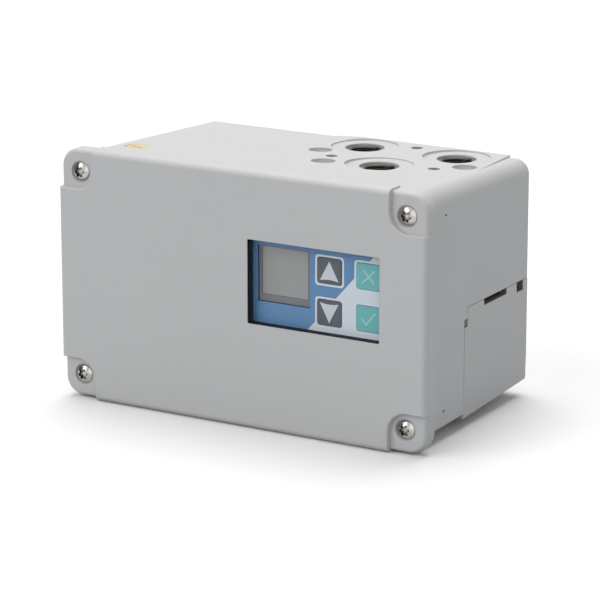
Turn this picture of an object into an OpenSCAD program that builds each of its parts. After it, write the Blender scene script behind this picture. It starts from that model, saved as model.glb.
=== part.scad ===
// Electropneumatic valve positioner: a grey moulded base with a screwed front cover, a window over
// a display and four keys, three threaded air ports on top, a snap-in exhaust cover at the right rear
// and a feedback shaft with a gear pair for the position sensor at the back.
// Drawn with y = 0 at the front of the cover and z = 0 at its lower edge, then centred by place().

/* [Front cover] */
// Width of the cover
cover_w = 166; // [164:1:170]
// Height of the cover
cover_h = 102; // [101:1:104]
// Depth of the cover from its front to the seam
cover_t = 8.5; // [8:0.1:9]
// Corner radius of the cover outline
cover_corner_r = 8; // [7:0.5:9]
// Fillet between the front and the sides of the cover
cover_fillet = 2.5; // [2:0.1:3]
// Fillet of the four screw lugs
lug_fillet = 1.6; // [1.2:0.1:2]
// Step of a lug inside the cover outline
lug_step = 0.7; // [0.4:0.1:0.9]
// Wall behind the raised front
cover_skin = 3; // [2.6:0.1:3.1]
// Depth of the four corner recesses
recess_depth = 2.1; // [1.8:0.1:2.3]
// Width and height of a corner recess
recess_size = 16.3; // [15.5:0.1:17]
// Inner corner radius of a recess
recess_r = 8; // [6:0.5:9]
// Rounding of the edge around a recess
recess_edge = 0.7; // [0.5:0.1:1]
// Distance of a cover screw from the two edges of the cover
screw_inset = 9.7; // [9.6:0.1:10.2]

/* [Window and keys] */
// Width of the window
window_w = 58.1; // [57:0.1:59]
// Height of the window
window_h = 33.3; // [32:0.1:34]
// Window edge to the right side of the base
window_right = 14.7; // [13.5:0.1:16]
// Window centre above the middle of the cover
window_dz = 7.8; // [7:0.1:9]
// Cover thickness left around the window
window_lip = 0.5; // [0.4:0.1:0.8]
// Thickness of the clear pane
pane_t = 1; // [0.8:0.1:1.2]
// Depth of the keypad film behind the front of the cover
film_y = 4.4; // [4.2:0.1:4.5]
// Width of a key cap
key_w = 10.6; // [10:0.1:11]
// Height of a key cap
key_h = 10; // [9.6:0.1:10.6]
// Distance between the two key columns
key_pitch_x = 17.1; // [16.5:0.1:17.5]
// Distance between the two key rows
key_pitch_z = 16.4; // [16:0.1:17.2]
// Travel of a key
key_travel = 0.6; // [0.4:0.1:0.6]
// Clearance around a key
key_gap = 0.2; // [0.15:0.05:0.25]
// Width of the display
display_w = 23.3; // [22.6:0.1:23.4]
// Height of the display
display_h = 22.2; // [21.5:0.1:22.6]

/* [Base housing] */
// Width of the base at the seam
base_w = 155.2; // [154.6:0.2:157]
// Width of the base at its back
base_back_w = 151.4; // [150:0.2:153]
// Depth from the cover front to the back of the base
base_y = 98; // [97:0.5:100]
// Height of the base underside at the seam
base_z0 = 5; // [4.6:0.1:5.4]
// Cover edge above the base top at the seam
top_margin = 2.2; // [2:0.1:2.6]
// Rise of the underside towards the back
base_rise = 1.6; // [1:0.1:2]
// Fall of the top towards the back
base_fall = 3.6; // [3:0.1:4]
// Radius of the upper edges of the base at the seam
base_r = 6.5; // [6:0.1:7]
// Radius of the upper edges of the base at the back
base_back_r = 6; // [5:0.2:6.4]
// Radius of the lower edges of the base
base_low_r = 1; // [0.8:0.1:2]
// Round-over of the back edge
back_round = 2; // [1:0.2:2.4]
// Wall of the base
base_wall = 3.6; // [3.2:0.1:4]

/* [Air ports] */
// Radius of the port thread
port_r = 5.9; // [5.7:0.05:6.1]
// Radius of the port mouth in the base
port_mouth_r = 7.9; // [7.4:0.1:8.2]
// Radius of a spot face
spot_r = 13.6; // [13:0.1:14]
// Depth of a spot face
spot_depth = 0.9; // [0.7:0.1:1.1]
// Distance between the two rear ports
port_pitch = 41.6; // [41:0.1:42.4]
// Length of a port insert
insert_len = 13.5; // [12:0.5:14]

/* [Feedback shaft] */
// Radius of the free end of the shaft
shaft_r = 4; // [3.6:0.1:4.4]
// Length of the shaft behind the base
shaft_out = 12; // [10:0.5:16]
// Shaft place to the left of the middle
shaft_x = -36; // [-38:0.5:-35]
// Module of the two gears
gear_module = 0.8; // [0.75:0.05:0.8]
// Spacing of the rear mounting threads
mount_pitch = 50; // [48:1:52]
// Radius of the rear mounting threads
mount_r = 2.5; // [2.1:0.1:2.5]

/* [Cable side] */
// Radius of the cable entry threads
entry_r = 9.25; // [9:0.05:9.4]
// Distance between the two cable entries
entry_pitch = 34; // [32:0.5:36]

/* [Hidden] */
$fn = 64;

// Colours
housing_grey = [0.72, 0.72, 0.72];
steel = [0.78, 0.78, 0.76];
brass = [0.80, 0.66, 0.36];
black = [0.06, 0.06, 0.07];
board_green = [0.08, 0.30, 0.18];

// Overall
overall_y = base_y + shaft_out;
mid_z = cover_h / 2;
eps = 0.01;
fit = 0.05;

// Cover screws, M4
cover_screw_x = cover_w / 2 - screw_inset;
cover_screw_z = [screw_inset, cover_h - screw_inset];
m4_r = 2;
m4_head_r = 3.8;
m4_head_h = 2.2;
counterbore_r = 4.3;
counterbore_depth = 0.6;
cover_screw_seat = recess_depth + counterbore_depth;
cover_screw_len = 20;

// Window stack behind the cover, from the lip to the film
window_x = base_w / 2 - window_right - window_w / 2;
window_z = mid_z + window_dz;
seal_w = 4;
seal_gap = 0.1;
pane_y = window_lip;
seal_y = pane_y + pane_t;
film_t = 0.3;
panel_y = film_y + film_t;
panel_t = 1.5;
panel_w = window_w + 9;
panel_h = window_h + 9;
panel_back = panel_y + panel_t;
board_y = panel_back + 3.8;
board_t = 1.6;
board_back = board_y + board_t;

// Keys: columns and rows from the window centre
key_x = [window_x + 4.9, window_x + 4.9 + key_pitch_x];
key_mid_z = window_z - 0.7;
key_z = [key_mid_z + key_pitch_z / 2, key_mid_z - key_pitch_z / 2];
key_proud = 0.2;
key_flange = 1.0;
key_corner_r = 1;
plunger_r = 1.6;
flange_gap = 0.05;
dome_h = 0.8;
plunger_end = board_y - dome_h - key_travel - 0.1;

// Display
display_x = window_x - window_w / 2 + 2.1 + display_w / 2;
display_z = window_z + window_h / 2 - 2.7 - display_h / 2;
display_sink = 0.9;
display_band = [1.4, 1.45, 2.8, 0.6];
glass_t = 0.8;

// Base
seam = cover_t;
base_z1 = cover_h - top_margin;
base_back_z0 = base_z0 + base_rise;
base_back_z1 = base_z1 - base_fall;
inner_back = base_y - 4.2;
gasket_w = 2.2;
gasket_h = 1.6;
gasket_x = base_w / 2 - 3.2;
gasket_z0 = base_z0 + 3.2;
gasket_z1 = base_z1 - 3.2;
gasket_chamfer = 15;
boss_r = 4.6;
boss_len = 26;
rib_w = 10;
rib_x = 45;

// Top pad with the ports
pad_x0 = -12.8;
pad_x1 = 70.5;
pad_taper = 3.7;
pad_y0 = 62.5;
pad_y1 = base_y - 0.6;
pad_ramp = 11;
pad_step = 0.75;
port_x0 = 9;
port_rear_y = base_y - 15.2;
port_front = [32.6, base_y - 45.2];
ports = [
    [port_x0, port_rear_y],
    port_front,
    [port_x0 + port_pitch, port_rear_y]
];
labels = [
    [port_x0 - 10.3, port_rear_y - 17.4],
    [port_front[0] - 20.7, port_front[1] - 7.7],
    [port_x0 + port_pitch + 12.4, port_rear_y - 16.7]
];
label_r = 4.9;
label_depth = 2.4;
label_dish = (label_r * label_r + label_depth * label_depth) / (2 * label_depth);
accessory_holes = [
    [port_x0, port_rear_y - 26.3],
    [port_x0 + port_pitch / 2 - 0.9, port_rear_y + 7],
    [port_x0 + port_pitch + 4.2, port_rear_y - 26.3]
];
accessory_r = 2.1;
accessory_depth = 9;
accessory_chamfer = 0.4;
insert_r = 8.8;
insert_lip = 0.7;
insert_lead = 0.6;
port_boss_r = 10.5;
marker_xy = [-63.2, 26.7];
marker_r = 4.8;

// Manifold inside, under the ports
manifold_z1 = base_z1 - base_fall - 17;
manifold_h = 17;
manifold_x = [-2.5, 67];
manifold_y = [45, base_y - 6];
gasket_plate_t = 1;
valve_x = [10, 36];
manifold_screw_xy = [
    [port_x0 - 6, port_rear_y - 20],
    [port_x0 + port_pitch / 2, port_rear_y - 12],
    [port_x0 + port_pitch + 12, port_rear_y - 20]
];

// Exhaust cover at the right rear
exhaust_y0 = 42;
exhaust_y1 = base_y - 1.2;
exhaust_step = 2.6;
exhaust_z0 = base_z0 - 1.2;
exhaust_z1 = mid_z - 2.8;
exhaust_t = 2.2;
exhaust_gap = 0.2;
exhaust_bend_z = mid_z - 33;
exhaust_tuck = 0.6;
exhaust_ledge = 2.5;
slot_depth = 11;
chamber_depth = 7;
silencer_z = exhaust_z1 - 16;
wall_angle = atan((base_w - base_back_w) / 2 / (base_y - seam - back_round));

// Shaft line
shaft_z = base_z0 + 46;
gear_teeth = 40;
pinion_teeth = 16;
gear_face = 4;
gear_y = inner_back - 13;
gear_clear = 0.12;
gear_pitch_r = gear_module * gear_teeth / 2;
pinion_pitch_r = gear_module * pinion_teeth / 2;
pinion_x = shaft_x;
pinion_z = shaft_z - gear_pitch_r - pinion_pitch_r - gear_clear;
shaft_clear = 0.04;
journal_r = 5;
shaft_flat = 1;
shaft_flat_len = 4.5;
bush_r = 7;
bush_flange_r = 9.5;
bush_flange_t = 1.4;
seal_t = 2.6;
spindle_r = 3;
pot_r = 8;
pot_len = 12;
bracket_t = 1.6;
bracket_y = gear_y - 3;
post_x = 16;
post_dz = 12;
mount_insert_r = 4.2;
mount_insert_len = 10;

// Cable side
entry_y = 46;
entry_pad_r = 13.5;
entry_pad = 1.2;
entry_len = 10;
plug_seal_t = 1.5;
plug_head = 3.2;
entry_mid_z = mid_z - 8;
entry_z = [entry_mid_z + entry_pitch / 2, entry_mid_z - entry_pitch / 2];

// Board and rear threads
board_x = base_w / 2 - 15.6;
board_z0 = base_z0 + 10;
board_z1 = base_z1 - 16.8;
board_edge = 8;
pillar_y = 28;
mount_places = [
    for (sx = [-1, 1])
        for (sz = [-1, 1])
            [shaft_x + sx * mount_pitch / 2, shaft_z + sz * mount_pitch / 2]
];

// Half width of the base at a depth
function half_w(y) = base_w / 2 - (y - seam) * tan(wall_angle);
plug_x = -half_w(entry_y) - entry_pad - plug_seal_t;

// Height of the base top at a depth
function top_z(y) = base_z1 - base_fall * (y - seam) / (base_y - back_round - seam);

// Height of the port pad at a depth
pad_slope = (top_z(pad_y0) - top_z(base_y) - pad_step) / (base_y - pad_y0);
function pad_z(y) = top_z(pad_y0) - pad_slope * (y - pad_y0);
function face_z(p) = max(pad_z(p[1]), top_z(p[1]));
function seat_z(p) = face_z(p) - spot_depth;

// Moves the drawing so that the middle of its depth is at y = 0
module place() {
    translate([0, -overall_y / 2, 0]) children();
}

// Extrudes a shape drawn in x and z along y, from y0
module slab(y0, t) {
    translate([0, y0 + t, 0]) rotate([90, 0, 0]) linear_extrude(t) children();
}

module rod_x(x0, y, z, len, r) {
    translate([x0, y, z]) rotate([0, 90, 0]) cylinder(h = len, r = r);
}

module rod_y(x, y0, z, len, r) {
    translate([x, y0 + len, z]) rotate([90, 0, 0]) cylinder(h = len, r = r);
}

module rod_z(x, y, z0, len, r) {
    translate([x, y, z0]) cylinder(h = len, r = r);
}

// Box from its low corner
module box(x0, y0, z0, sx, sy, sz) {
    translate([x0, y0, z0]) cube([sx, sy, sz]);
}

module rounded_rect(w, h, r) {
    square([w - 2 * r, h], center = true);
    square([w, h - 2 * r], center = true);
    for (sx = [-1, 1])
        for (sz = [-1, 1])
            translate([sx * (w / 2 - r), sz * (h / 2 - r)]) circle(r);
}

// Rectangle with the four corners cut at 45 degrees
module cut_rect(x1, z0, z1, c) {
    polygon([
        [-x1 + c, z0], [x1 - c, z0], [x1, z0 + c], [x1, z1 - c],
        [x1 - c, z1], [-x1 + c, z1], [-x1, z1 - c], [-x1, z0 + c]
    ]);
}

// Section of a plate edge: depth along y, its outer front corner rounded
module edge_section(w, t, rf) {
    difference() {
        square([w, t]);
        translate([w - rf, 0]) difference() {
            square([rf + 1, rf]);
            translate([0, rf]) circle(rf);
        }
    }
}

// Plate with a filleted front edge, from y0
module soft_plate(w, h, rc, rf, y0, t) {
    slab(y0, t) square([w - 2 * rc, h - 2 * rc], center = true);
    for (s = [0, 1]) {
        mirror([s, 0, 0]) translate([w / 2 - rc, y0, -h / 2 + rc])
            linear_extrude(h - 2 * rc) edge_section(rc, t, rf);
        mirror([0, 0, s]) translate([-w / 2 + rc, y0, h / 2 - rc]) rotate([0, -90, 0]) mirror([0, 0, 1])
            linear_extrude(w - 2 * rc) edge_section(rc, t, rf);
        for (k = [0, 1])
            mirror([s, 0, 0]) mirror([0, 0, k]) translate([w / 2 - rc, y0, -h / 2 + rc])
                rotate([-90, 0, 0]) rotate_extrude(angle = 90) edge_section(rc, t, rf);
    }
}

// Plan of a corner recess at the upper right, in x and z from the middle of the cover
module recess_plan(grow) {
    x0 = cover_w / 2 - recess_size - grow;
    z0 = cover_h / 2 - recess_size - grow;
    r = recess_r + grow;
    reach = recess_size + 4;
    difference() {
        translate([x0, z0]) square(reach);
        translate([x0 - 1, z0 - 1]) difference() {
            square(r + 1);
            translate([r + 1, r + 1]) circle(r);
        }
    }
}

// Rounds the edge of the raised front along a recess
module recess_rounding() {
    x0 = cover_w / 2 - recess_size;
    z0 = cover_h / 2 - recess_size;
    reach = recess_size - recess_r + 2;
    module corner_section() {
        difference() {
            translate([0, -1]) square([recess_edge, recess_edge + 1]);
            translate([recess_edge, recess_edge]) circle(recess_edge);
        }
    }
    translate([x0, 0, z0 + recess_r]) linear_extrude(reach) mirror([1, 0]) corner_section();
    translate([x0 + recess_r + reach, 0, z0]) rotate([0, -90, 0])
        linear_extrude(reach) mirror([1, 0]) corner_section();
    translate([x0 + recess_r, 0, z0 + recess_r]) rotate([-90, 0, 0]) rotate([0, 0, 90])
        rotate_extrude(angle = 90) translate([recess_r, 0]) corner_section();
}

module each_corner() {
    for (sx = [0, 1])
        for (sz = [0, 1])
            mirror([sx, 0, 0]) mirror([0, 0, sz]) children();
}

// Cylinder-head screw along +y with a six-lobe socket, head front at y = 0
module lobe_screw(r, len, head_r, head_h) {
    dome_r = (head_r * head_r + head_h * head_h) / (2 * head_h);
    difference() {
        union() {
            intersection() {
                translate([0, dome_r, 0]) sphere(dome_r);
                rod_y(0, -eps, 0, head_h + eps, head_r);
            }
            rod_y(0, head_h - eps, 0, len + eps, r);
        }
        rod_y(0, -1, 0, 1 + head_h * 0.7, head_r * 0.36);
        for (a = [0:60:300])
            rotate([0, a, 0]) rod_y(head_r * 0.38, -1, 0, 1 + head_h * 0.7, head_r * 0.13);
    }
}

// Cheese-head screw along +y with a slot, head front at y = 0
module slot_screw(r, len, head_r, head_h) {
    difference() {
        union() {
            rod_y(0, 0, 0, head_h, head_r);
            rod_y(0, head_h - eps, 0, len + eps, r);
        }
        box(-head_r - 1, -1, -head_r * 0.13, 2 * head_r + 2, 1 + head_h * 0.5, head_r * 0.26);
    }
}

// Outer form of the base: drafted sides, rounded edges, round-over at the back
module base_form(inset, y1, r_front, r_back, over, fine) {
    module rod(x, y, z, r, n) {
        translate([x, y, z]) rotate([90, 0, 0]) cylinder(h = 0.02, r = r, $fn = n);
    }
    module corner(w, z0, z1, y, r, pull) {
        low = max(base_low_r - pull, 0.3);
        for (s = [-1, 1]) {
            rod(s * (w / 2 - inset - r), y, z1 - inset - r, r - pull, fine);
            rod(s * (w / 2 - inset - pull - low), y, z0 + inset + pull + low, low, 12);
        }
    }
    hull() {
        corner(base_w, base_z0, base_z1, seam + 0.02, r_front, 0);
        for (a = [0:30:90])
            corner(base_back_w, base_back_z0, base_back_z1, y1 - over * (1 - sin(a)), r_back, over * (1 - cos(a)));
    }
}

// Flat raised pad around the ports, less sloped than the base top
module port_pad() {
    intersection() {
        translate([pad_x0, 0, 0]) rotate([90, 0, 90]) linear_extrude(pad_x1 - pad_x0)
            polygon([[pad_y0 - 30, 80], [pad_y1, 80], [pad_y1, pad_z(pad_y1)],
                     [pad_y0 - 30, pad_z(pad_y0 - 30)]]);
        slab(pad_y0 - 40, 100)
            polygon([[pad_x0, 80], [pad_x1 + 1, 80], [pad_x1 + 1, pad_z(pad_y0 - 40)],
                     [pad_x0 + pad_ramp * 3, pad_z(base_y) + pad_step * 2], [pad_x0, pad_z(base_y) - pad_step]]);
        translate([0, 0, 80]) linear_extrude(40)
            polygon([[pad_x0, pad_y0 - 30], [pad_x1 - 2, pad_y0 - 30], [pad_x1, pad_y0],
                     [pad_x1 - pad_taper, pad_y1], [pad_x0, pad_y1]]);
    }
}

// Outline of the exhaust cover on the right face, in y and z
module exhaust_outline(gap) {
    difference() {
        polygon([
            [exhaust_y0 + exhaust_step - gap, exhaust_z1 + gap],
            [exhaust_y1 + gap, exhaust_z1 + gap],
            [exhaust_y1 + gap, exhaust_z0 + 2.6 - gap],
            [exhaust_y0 - gap, exhaust_z0 - gap],
            [exhaust_y0 - gap, exhaust_z1 - 7.6 + gap],
            [exhaust_y0 + exhaust_step - gap, exhaust_z1 - 7.6 + gap]
        ]);
        if (gap == 0) exhaust_notches();
    }
    if (gap > 0)
        translate([exhaust_y0 - gap, exhaust_z1 - 7.6]) square([exhaust_step, 3.2]);
}

// Outlet slot and rear finger notch
module exhaust_notches() {
    translate([exhaust_y0 + 16.4, exhaust_z1 - 2.4]) square([19.6, 2.4 + exhaust_gap]);
    translate([exhaust_y1 - 9.6, exhaust_z1 - 4]) square([5.6, 4 + exhaust_gap]);
}

// Section of the exhaust cover in x and z: straight, then tucked inwards to the lower edge
module exhaust_section(x1, t) {
    z_low = exhaust_z0 - 2;
    z_mid = (exhaust_bend_z + z_low) / 2;
    polygon([
        [x1, exhaust_z1 + 2], [x1, exhaust_bend_z], [x1 - exhaust_tuck * 0.28, z_mid], [x1 - exhaust_tuck, z_low],
        [x1 - exhaust_tuck - t, z_low], [x1 - exhaust_tuck * 0.28 - t, z_mid], [x1 - t, exhaust_bend_z],
        [x1 - t, exhaust_z1 + 2]
    ]);
}

// Turns a piece drawn along the right side with the drafted wall
module along_wall(proud) {
    translate([half_w(exhaust_y0) + proud, exhaust_y0, 0]) rotate([0, 0, wall_angle])
        translate([0, -exhaust_y0, 0]) children();
}

// The exhaust cover; a larger gap and depth make its pocket
module exhaust_shape(gap, t, proud) {
    along_wall(proud) intersection() {
        slab(exhaust_y0 - 4, exhaust_y1 - exhaust_y0 + 8) exhaust_section(0, t);
        translate([-40, 0, 0]) rotate([90, 0, 90]) linear_extrude(60) exhaust_outline(gap);
    }
}

// Gear outline: involute flanks from the base circle to the tip
function involute(rb, t) = rb * [cos(t) + t * PI / 180 * sin(t), sin(t) - t * PI / 180 * cos(t)];
function turn(p, a) = [p[0] * cos(a) - p[1] * sin(a), p[0] * sin(a) + p[1] * cos(a)];

module gear_2d(m, n, backlash) {
    rp = m * n / 2;
    rb = rp * cos(20);
    ra = rp + m;
    rr = rp - 1.25 * m;
    t_end = sqrt(ra * ra / (rb * rb) - 1) * 180 / PI;
    t_pitch = sqrt(rp * rp / (rb * rb) - 1) * 180 / PI;
    flank_angle = atan2(involute(rb, t_pitch)[1], involute(rb, t_pitch)[0]);
    half = 90 / n - backlash / rp * 90 / PI + flank_angle;
    steps = 4;
    circle(rr, $fn = 96);
    for (i = [0:n - 1])
        rotate(i * 360 / n)
            polygon(concat(
                [turn([rr - 0.3, 0], -half)],
                [for (k = [0:steps]) turn(involute(rb, t_end * k / steps), -half)],
                [for (k = [steps:-1:0]) let (p = involute(rb, t_end * k / steps)) turn([p[0], -p[1]], half)],
                [turn([rr - 0.3, 0], half)]
            ));
}

module base_housing() {
    color(housing_grey) difference() {
        union() {
            base_form(0, base_y, base_r, base_back_r, back_round, 40);
            port_pad();
            for (s = [-1, 1])
                box(s * rib_x - rib_w / 2, base_y - 24, 0, rib_w, 16, base_back_z0 + 2);
            for (z = entry_z)
                rod_x(-half_w(entry_y) - entry_pad, entry_y, z, entry_pad + 1.5, entry_pad_r);
        }
        difference() {
            translate([0, -1, 0]) base_form(base_wall, inner_back + 1, 4, 4, 1, 20);
            base_bosses();
        }
        base_cuts();
    }
}

// Solid features left standing inside the base
module base_bosses() {
    for (s = [-1, 1])
        for (z = cover_screw_z)
            rod_y(s * cover_screw_x, seam - 2, z, boss_len, boss_r);
    for (p = ports)
        rod_z(p[0], p[1], manifold_z1 + gasket_plate_t, 40, port_boss_r);
    for (p = accessory_holes)
        rod_z(p[0], p[1], manifold_z1 + gasket_plate_t, 40, 4.4);
    for (p = manifold_screw_xy)
        rod_z(p[0], p[1], manifold_z1 + gasket_plate_t, 40, 4.4);
    for (s = [0, 1])
        for (z = [board_z0 + 5, board_z1 - 5])
            mirror([s, 0, 0]) box(board_x - 9, pillar_y, z - 5, 40, 13, 10);
    rod_y(shaft_x, inner_back - 4, shaft_z, 20, bush_flange_r + 2);
    for (p = mount_places)
        rod_y(p[0], inner_back - 8, p[1], 30, 7);
    for (s = [-1, 1])
        rod_y(shaft_x + s * post_x, bracket_y + bracket_t, pinion_z - post_dz, 40, 4);
    box(half_w(exhaust_y0) - 14, exhaust_y0 - 6, -1, 40, 80, exhaust_z1 + 5);
    for (z = entry_z)
        rod_x(-half_w(entry_y) - 0.5, entry_y, z, entry_len - entry_pad + 0.5, entry_pad_r - 0.5);
}

// Everything drilled or cut in the base
module base_cuts() {
    slab(seam - 1, 1.9) difference() {
        cut_rect(gasket_x, gasket_z0, gasket_z1, gasket_chamfer);
        cut_rect(gasket_x - gasket_w, gasket_z0 + gasket_w, gasket_z1 - gasket_w, gasket_chamfer - 1.3);
    }
    for (s = [-1, 1])
        for (z = cover_screw_z)
            rod_y(s * cover_screw_x, seam - 1, z, boss_len - 2, m4_r + fit);
    for (p = ports) {
        rod_z(p[0], p[1], seat_z(p), 20, spot_r);
        rod_z(p[0], p[1], 60, 60, port_mouth_r);
        rod_z(p[0], p[1], 60, seat_z(p) - insert_lip - 60, insert_r + fit);
    }
    for (p = labels)
        translate([p[0], p[1], face_z(p) - label_depth + label_dish]) rotate([90, 0, 0]) sphere(label_dish);
    for (p = accessory_holes)
        translate([p[0], p[1], face_z(p)]) {
            rod_z(0, 0, -accessory_depth, 20, accessory_r);
            translate([0, 0, -accessory_chamfer])
                cylinder(h = 2 * accessory_chamfer, r1 = accessory_r, r2 = accessory_r + 2 * accessory_chamfer);
        }
    for (p = manifold_screw_xy)
        rod_z(p[0], p[1], manifold_z1, 11, m4_r + fit);
    rod_z(marker_xy[0], marker_xy[1], 85, 30, marker_r + fit);
    exhaust_shape(exhaust_gap, exhaust_t + 6, 6);
    exhaust_shape(-exhaust_ledge, chamber_depth, 0);
    along_wall(-slot_depth) rotate([90, 0, 90]) linear_extrude(slot_depth + 2) exhaust_notches();
    rod_x(half_w(68) - 40, 68, silencer_z, 60, 4);
    for (z = [mid_z - 39.2, mid_z + 37.6])
        rod_x(half_w(25) - 1.2, 25, z, 10, 0.5);
    rod_y(shaft_x, inner_back - 20, shaft_z, 60, bush_r + fit);
    for (p = mount_places)
        rod_y(p[0], base_y - mount_insert_len, p[1], 20, mount_insert_r + fit);
    for (z = entry_z)
        rod_x(-100, entry_y, z, 50, entry_r);
    rod_x(-100, 26, 30, 100 - half_w(26) + 9, m4_r + fit);
    for (s = [-1, 1])
        for (z = [board_z0 + 5, board_z1 - 5])
            rod_y(s * (board_x - 4), pillar_y - 1, z, 9, 1.5 + fit);
    for (s = [-1, 1])
        rod_y(shaft_x + s * post_x, bracket_y - 1, pinion_z - post_dz, 11, 1.5 + fit);
}

module front_cover() {
    color(housing_grey) difference() {
        translate([0, 0, mid_z]) union() {
            intersection() {
                soft_plate(cover_w - 2 * lug_step, cover_h - 2 * lug_step, cover_corner_r - lug_step, lug_fillet,
                    recess_depth, cover_t - recess_depth);
                each_corner() slab(-1, cover_t + 2) recess_plan(1);
            }
            difference() {
                soft_plate(cover_w, cover_h, cover_corner_r, cover_fillet, 0, cover_t);
                each_corner() {
                    slab(-1, cover_t + 2) recess_plan(0);
                    recess_rounding();
                }
            }
        }
        translate([0, 0, mid_z]) each_corner() {
            rod_y(cover_screw_x, recess_depth - 1, mid_z - screw_inset, 1 + counterbore_depth, counterbore_r);
            rod_y(cover_screw_x, 0, mid_z - screw_inset, 20, m4_r + 0.25);
        }
        slab(cover_skin, 10)
            cut_rect(gasket_x - gasket_w - 1.4, gasket_z0 + gasket_w + 1.4, gasket_z1 - gasket_w - 1.4, gasket_chamfer);
        slab(seam - 0.8, 2) difference() {
            cut_rect(gasket_x, gasket_z0, gasket_z1, gasket_chamfer);
            cut_rect(gasket_x - gasket_w, gasket_z0 + gasket_w, gasket_z1 - gasket_w, gasket_chamfer - 1.3);
        }
        translate([window_x, 0, window_z]) {
            slab(-1, 10) rounded_rect(window_w, window_h, 0.6);
            slab(window_lip, 10)
                square([window_w + 2 * seal_w + 0.2, window_h + 2 * seal_w + 0.2], center = true);
        }
    }
}

module cover_gasket() {
    color(black) slab(seam - 0.75, gasket_h) difference() {
        cut_rect(gasket_x - seal_gap, gasket_z0 + seal_gap, gasket_z1 - seal_gap, gasket_chamfer);
        cut_rect(gasket_x - gasket_w + seal_gap, gasket_z0 + gasket_w - seal_gap,
            gasket_z1 - gasket_w + seal_gap, gasket_chamfer - 1.3);
    }
}

module cover_screws() {
    color(steel)
        for (s = [-1, 1])
            for (z = cover_screw_z)
                translate([s * cover_screw_x, cover_screw_seat - m4_head_h, z])
                    lobe_screw(m4_r, cover_screw_len, m4_head_r, m4_head_h);
}

module window_pane() {
    color([0.85, 0.9, 0.92, 0.3]) translate([window_x, 0, window_z])
        slab(pane_y, pane_t) square([window_w + 2 * seal_w, window_h + 2 * seal_w], center = true);
}

module window_seal() {
    color(black) translate([window_x, 0, window_z])
        slab(seal_y, film_y - seal_y) difference() {
            square([window_w + 2 * seal_w, window_h + 2 * seal_w], center = true);
            rounded_rect(window_w, window_h, 0.6);
        }
}

module key_places() {
    for (x = key_x)
        for (z = key_z)
            translate([x, z]) children();
}

module keypad_panel() {
    color([0.16, 0.17, 0.18]) {
        slab(panel_y, panel_t) difference() {
            translate([window_x, window_z]) square([panel_w, panel_h], center = true);
            key_places() rounded_rect(key_w + 2 * key_gap, key_h + 2 * key_gap, key_corner_r + key_gap);
            translate([display_x, display_z]) square([display_w, display_h], center = true);
        }
        for (sx = [-1, 1])
            for (sz = [-1, 1])
                rod_y(window_x + sx * (panel_w / 2 - 3), panel_back - eps, window_z + sz * (panel_h / 2 - 3),
                    board_y - panel_back + eps, 2.4);
    }
}

module keypad_film() {
    color([0.36, 0.50, 0.65]) slab(film_y, film_t) difference() {
        translate([window_x, window_z]) square([panel_w, panel_h], center = true);
        key_places() rounded_rect(key_w + 2 * key_gap, key_h + 2 * key_gap, key_corner_r + key_gap);
        translate([display_x, display_z]) square([display_w, display_h], center = true);
    }
}

// Display carrier with the frame around the glass, on the board behind the panel
module display_module() {
    color([0.42, 0.42, 0.43]) difference() {
        slab(film_y + display_sink, board_y - film_y - display_sink)
            translate([display_x, display_z]) square([display_w - 0.2, display_h - 0.2], center = true);
        display_opening(film_y, display_sink + glass_t + 0.3, 0);
    }
}

module display_opening(y0, t, gap) {
    w = display_w - display_band[0] - display_band[1];
    h = display_h - display_band[2] - display_band[3];
    x = display_x - display_w / 2 + display_band[0] + w / 2;
    z = display_z - display_h / 2 + display_band[2] + h / 2;
    slab(y0, t) translate([x, z]) square([w - 2 * gap, h - 2 * gap], center = true);
}

module display_glass() {
    color([0.56, 0.56, 0.57]) display_opening(film_y + display_sink + 0.3, glass_t, 0.05);
}

// Key cap in its opening, a flange behind the panel and a plunger over its dome
module key_body(x, z) {
    translate([x, 0, z]) {
        slab(film_y - key_proud, panel_back + flange_gap - film_y + key_proud)
            rounded_rect(key_w, key_h, key_corner_r);
        slab(panel_back + flange_gap, key_flange) square([key_w + 1.6, key_h + 1.6], center = true);
        rod_y(0, panel_back + flange_gap, 0, plunger_end - panel_back - flange_gap, plunger_r);
    }
}

module key_up() {
    color([0.34, 0.36, 0.38]) key_body(key_x[0], key_z[0]);
}

module key_down() {
    color([0.34, 0.36, 0.38]) key_body(key_x[0], key_z[1]);
}

module key_back() {
    color([0.42, 0.67, 0.66]) key_body(key_x[1], key_z[0]);
}

module key_enter() {
    color([0.42, 0.67, 0.66]) key_body(key_x[1], key_z[1]);
}

module key_domes() {
    color(steel)
        for (x = key_x)
            for (z = key_z)
                rod_y(x, board_y - dome_h, z, dome_h, 3.2);
}

module main_board() {
    color(board_green) slab(board_y, board_t) difference() {
        translate([-board_x - 4, board_z0]) square([2 * board_x + 8, board_z1 - board_z0]);
        for (s = [-1, 1])
            for (z = [board_z0 + 5, board_z1 - 5])
                translate([s * (board_x - 4), z]) circle(1.7);
    }
}

module board_standoffs() {
    color(brass)
        for (s = [-1, 1])
            for (z = [board_z0 + 5, board_z1 - 5])
                difference() {
                    translate([s * (board_x - 4), pillar_y, z]) rotate([90, 0, 0])
                        cylinder(h = pillar_y - board_back, r = 3.2, $fn = 6);
                    rod_y(s * (board_x - 4), 0, z, 60, 1.55);
                }
}

module board_screws() {
    color(steel)
        for (s = [-1, 1])
            for (z = [board_z0 + 5, board_z1 - 5])
                translate([s * (board_x - 4), board_y - 2, z]) slot_screw(1.5, 24, 2.8, 2);
}

// Terminals on the board, left of the window
terminal_n = 8;
terminal_pitch = 6;
terminal_x0 = -board_x + board_edge;
terminal_z = 25;

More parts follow.
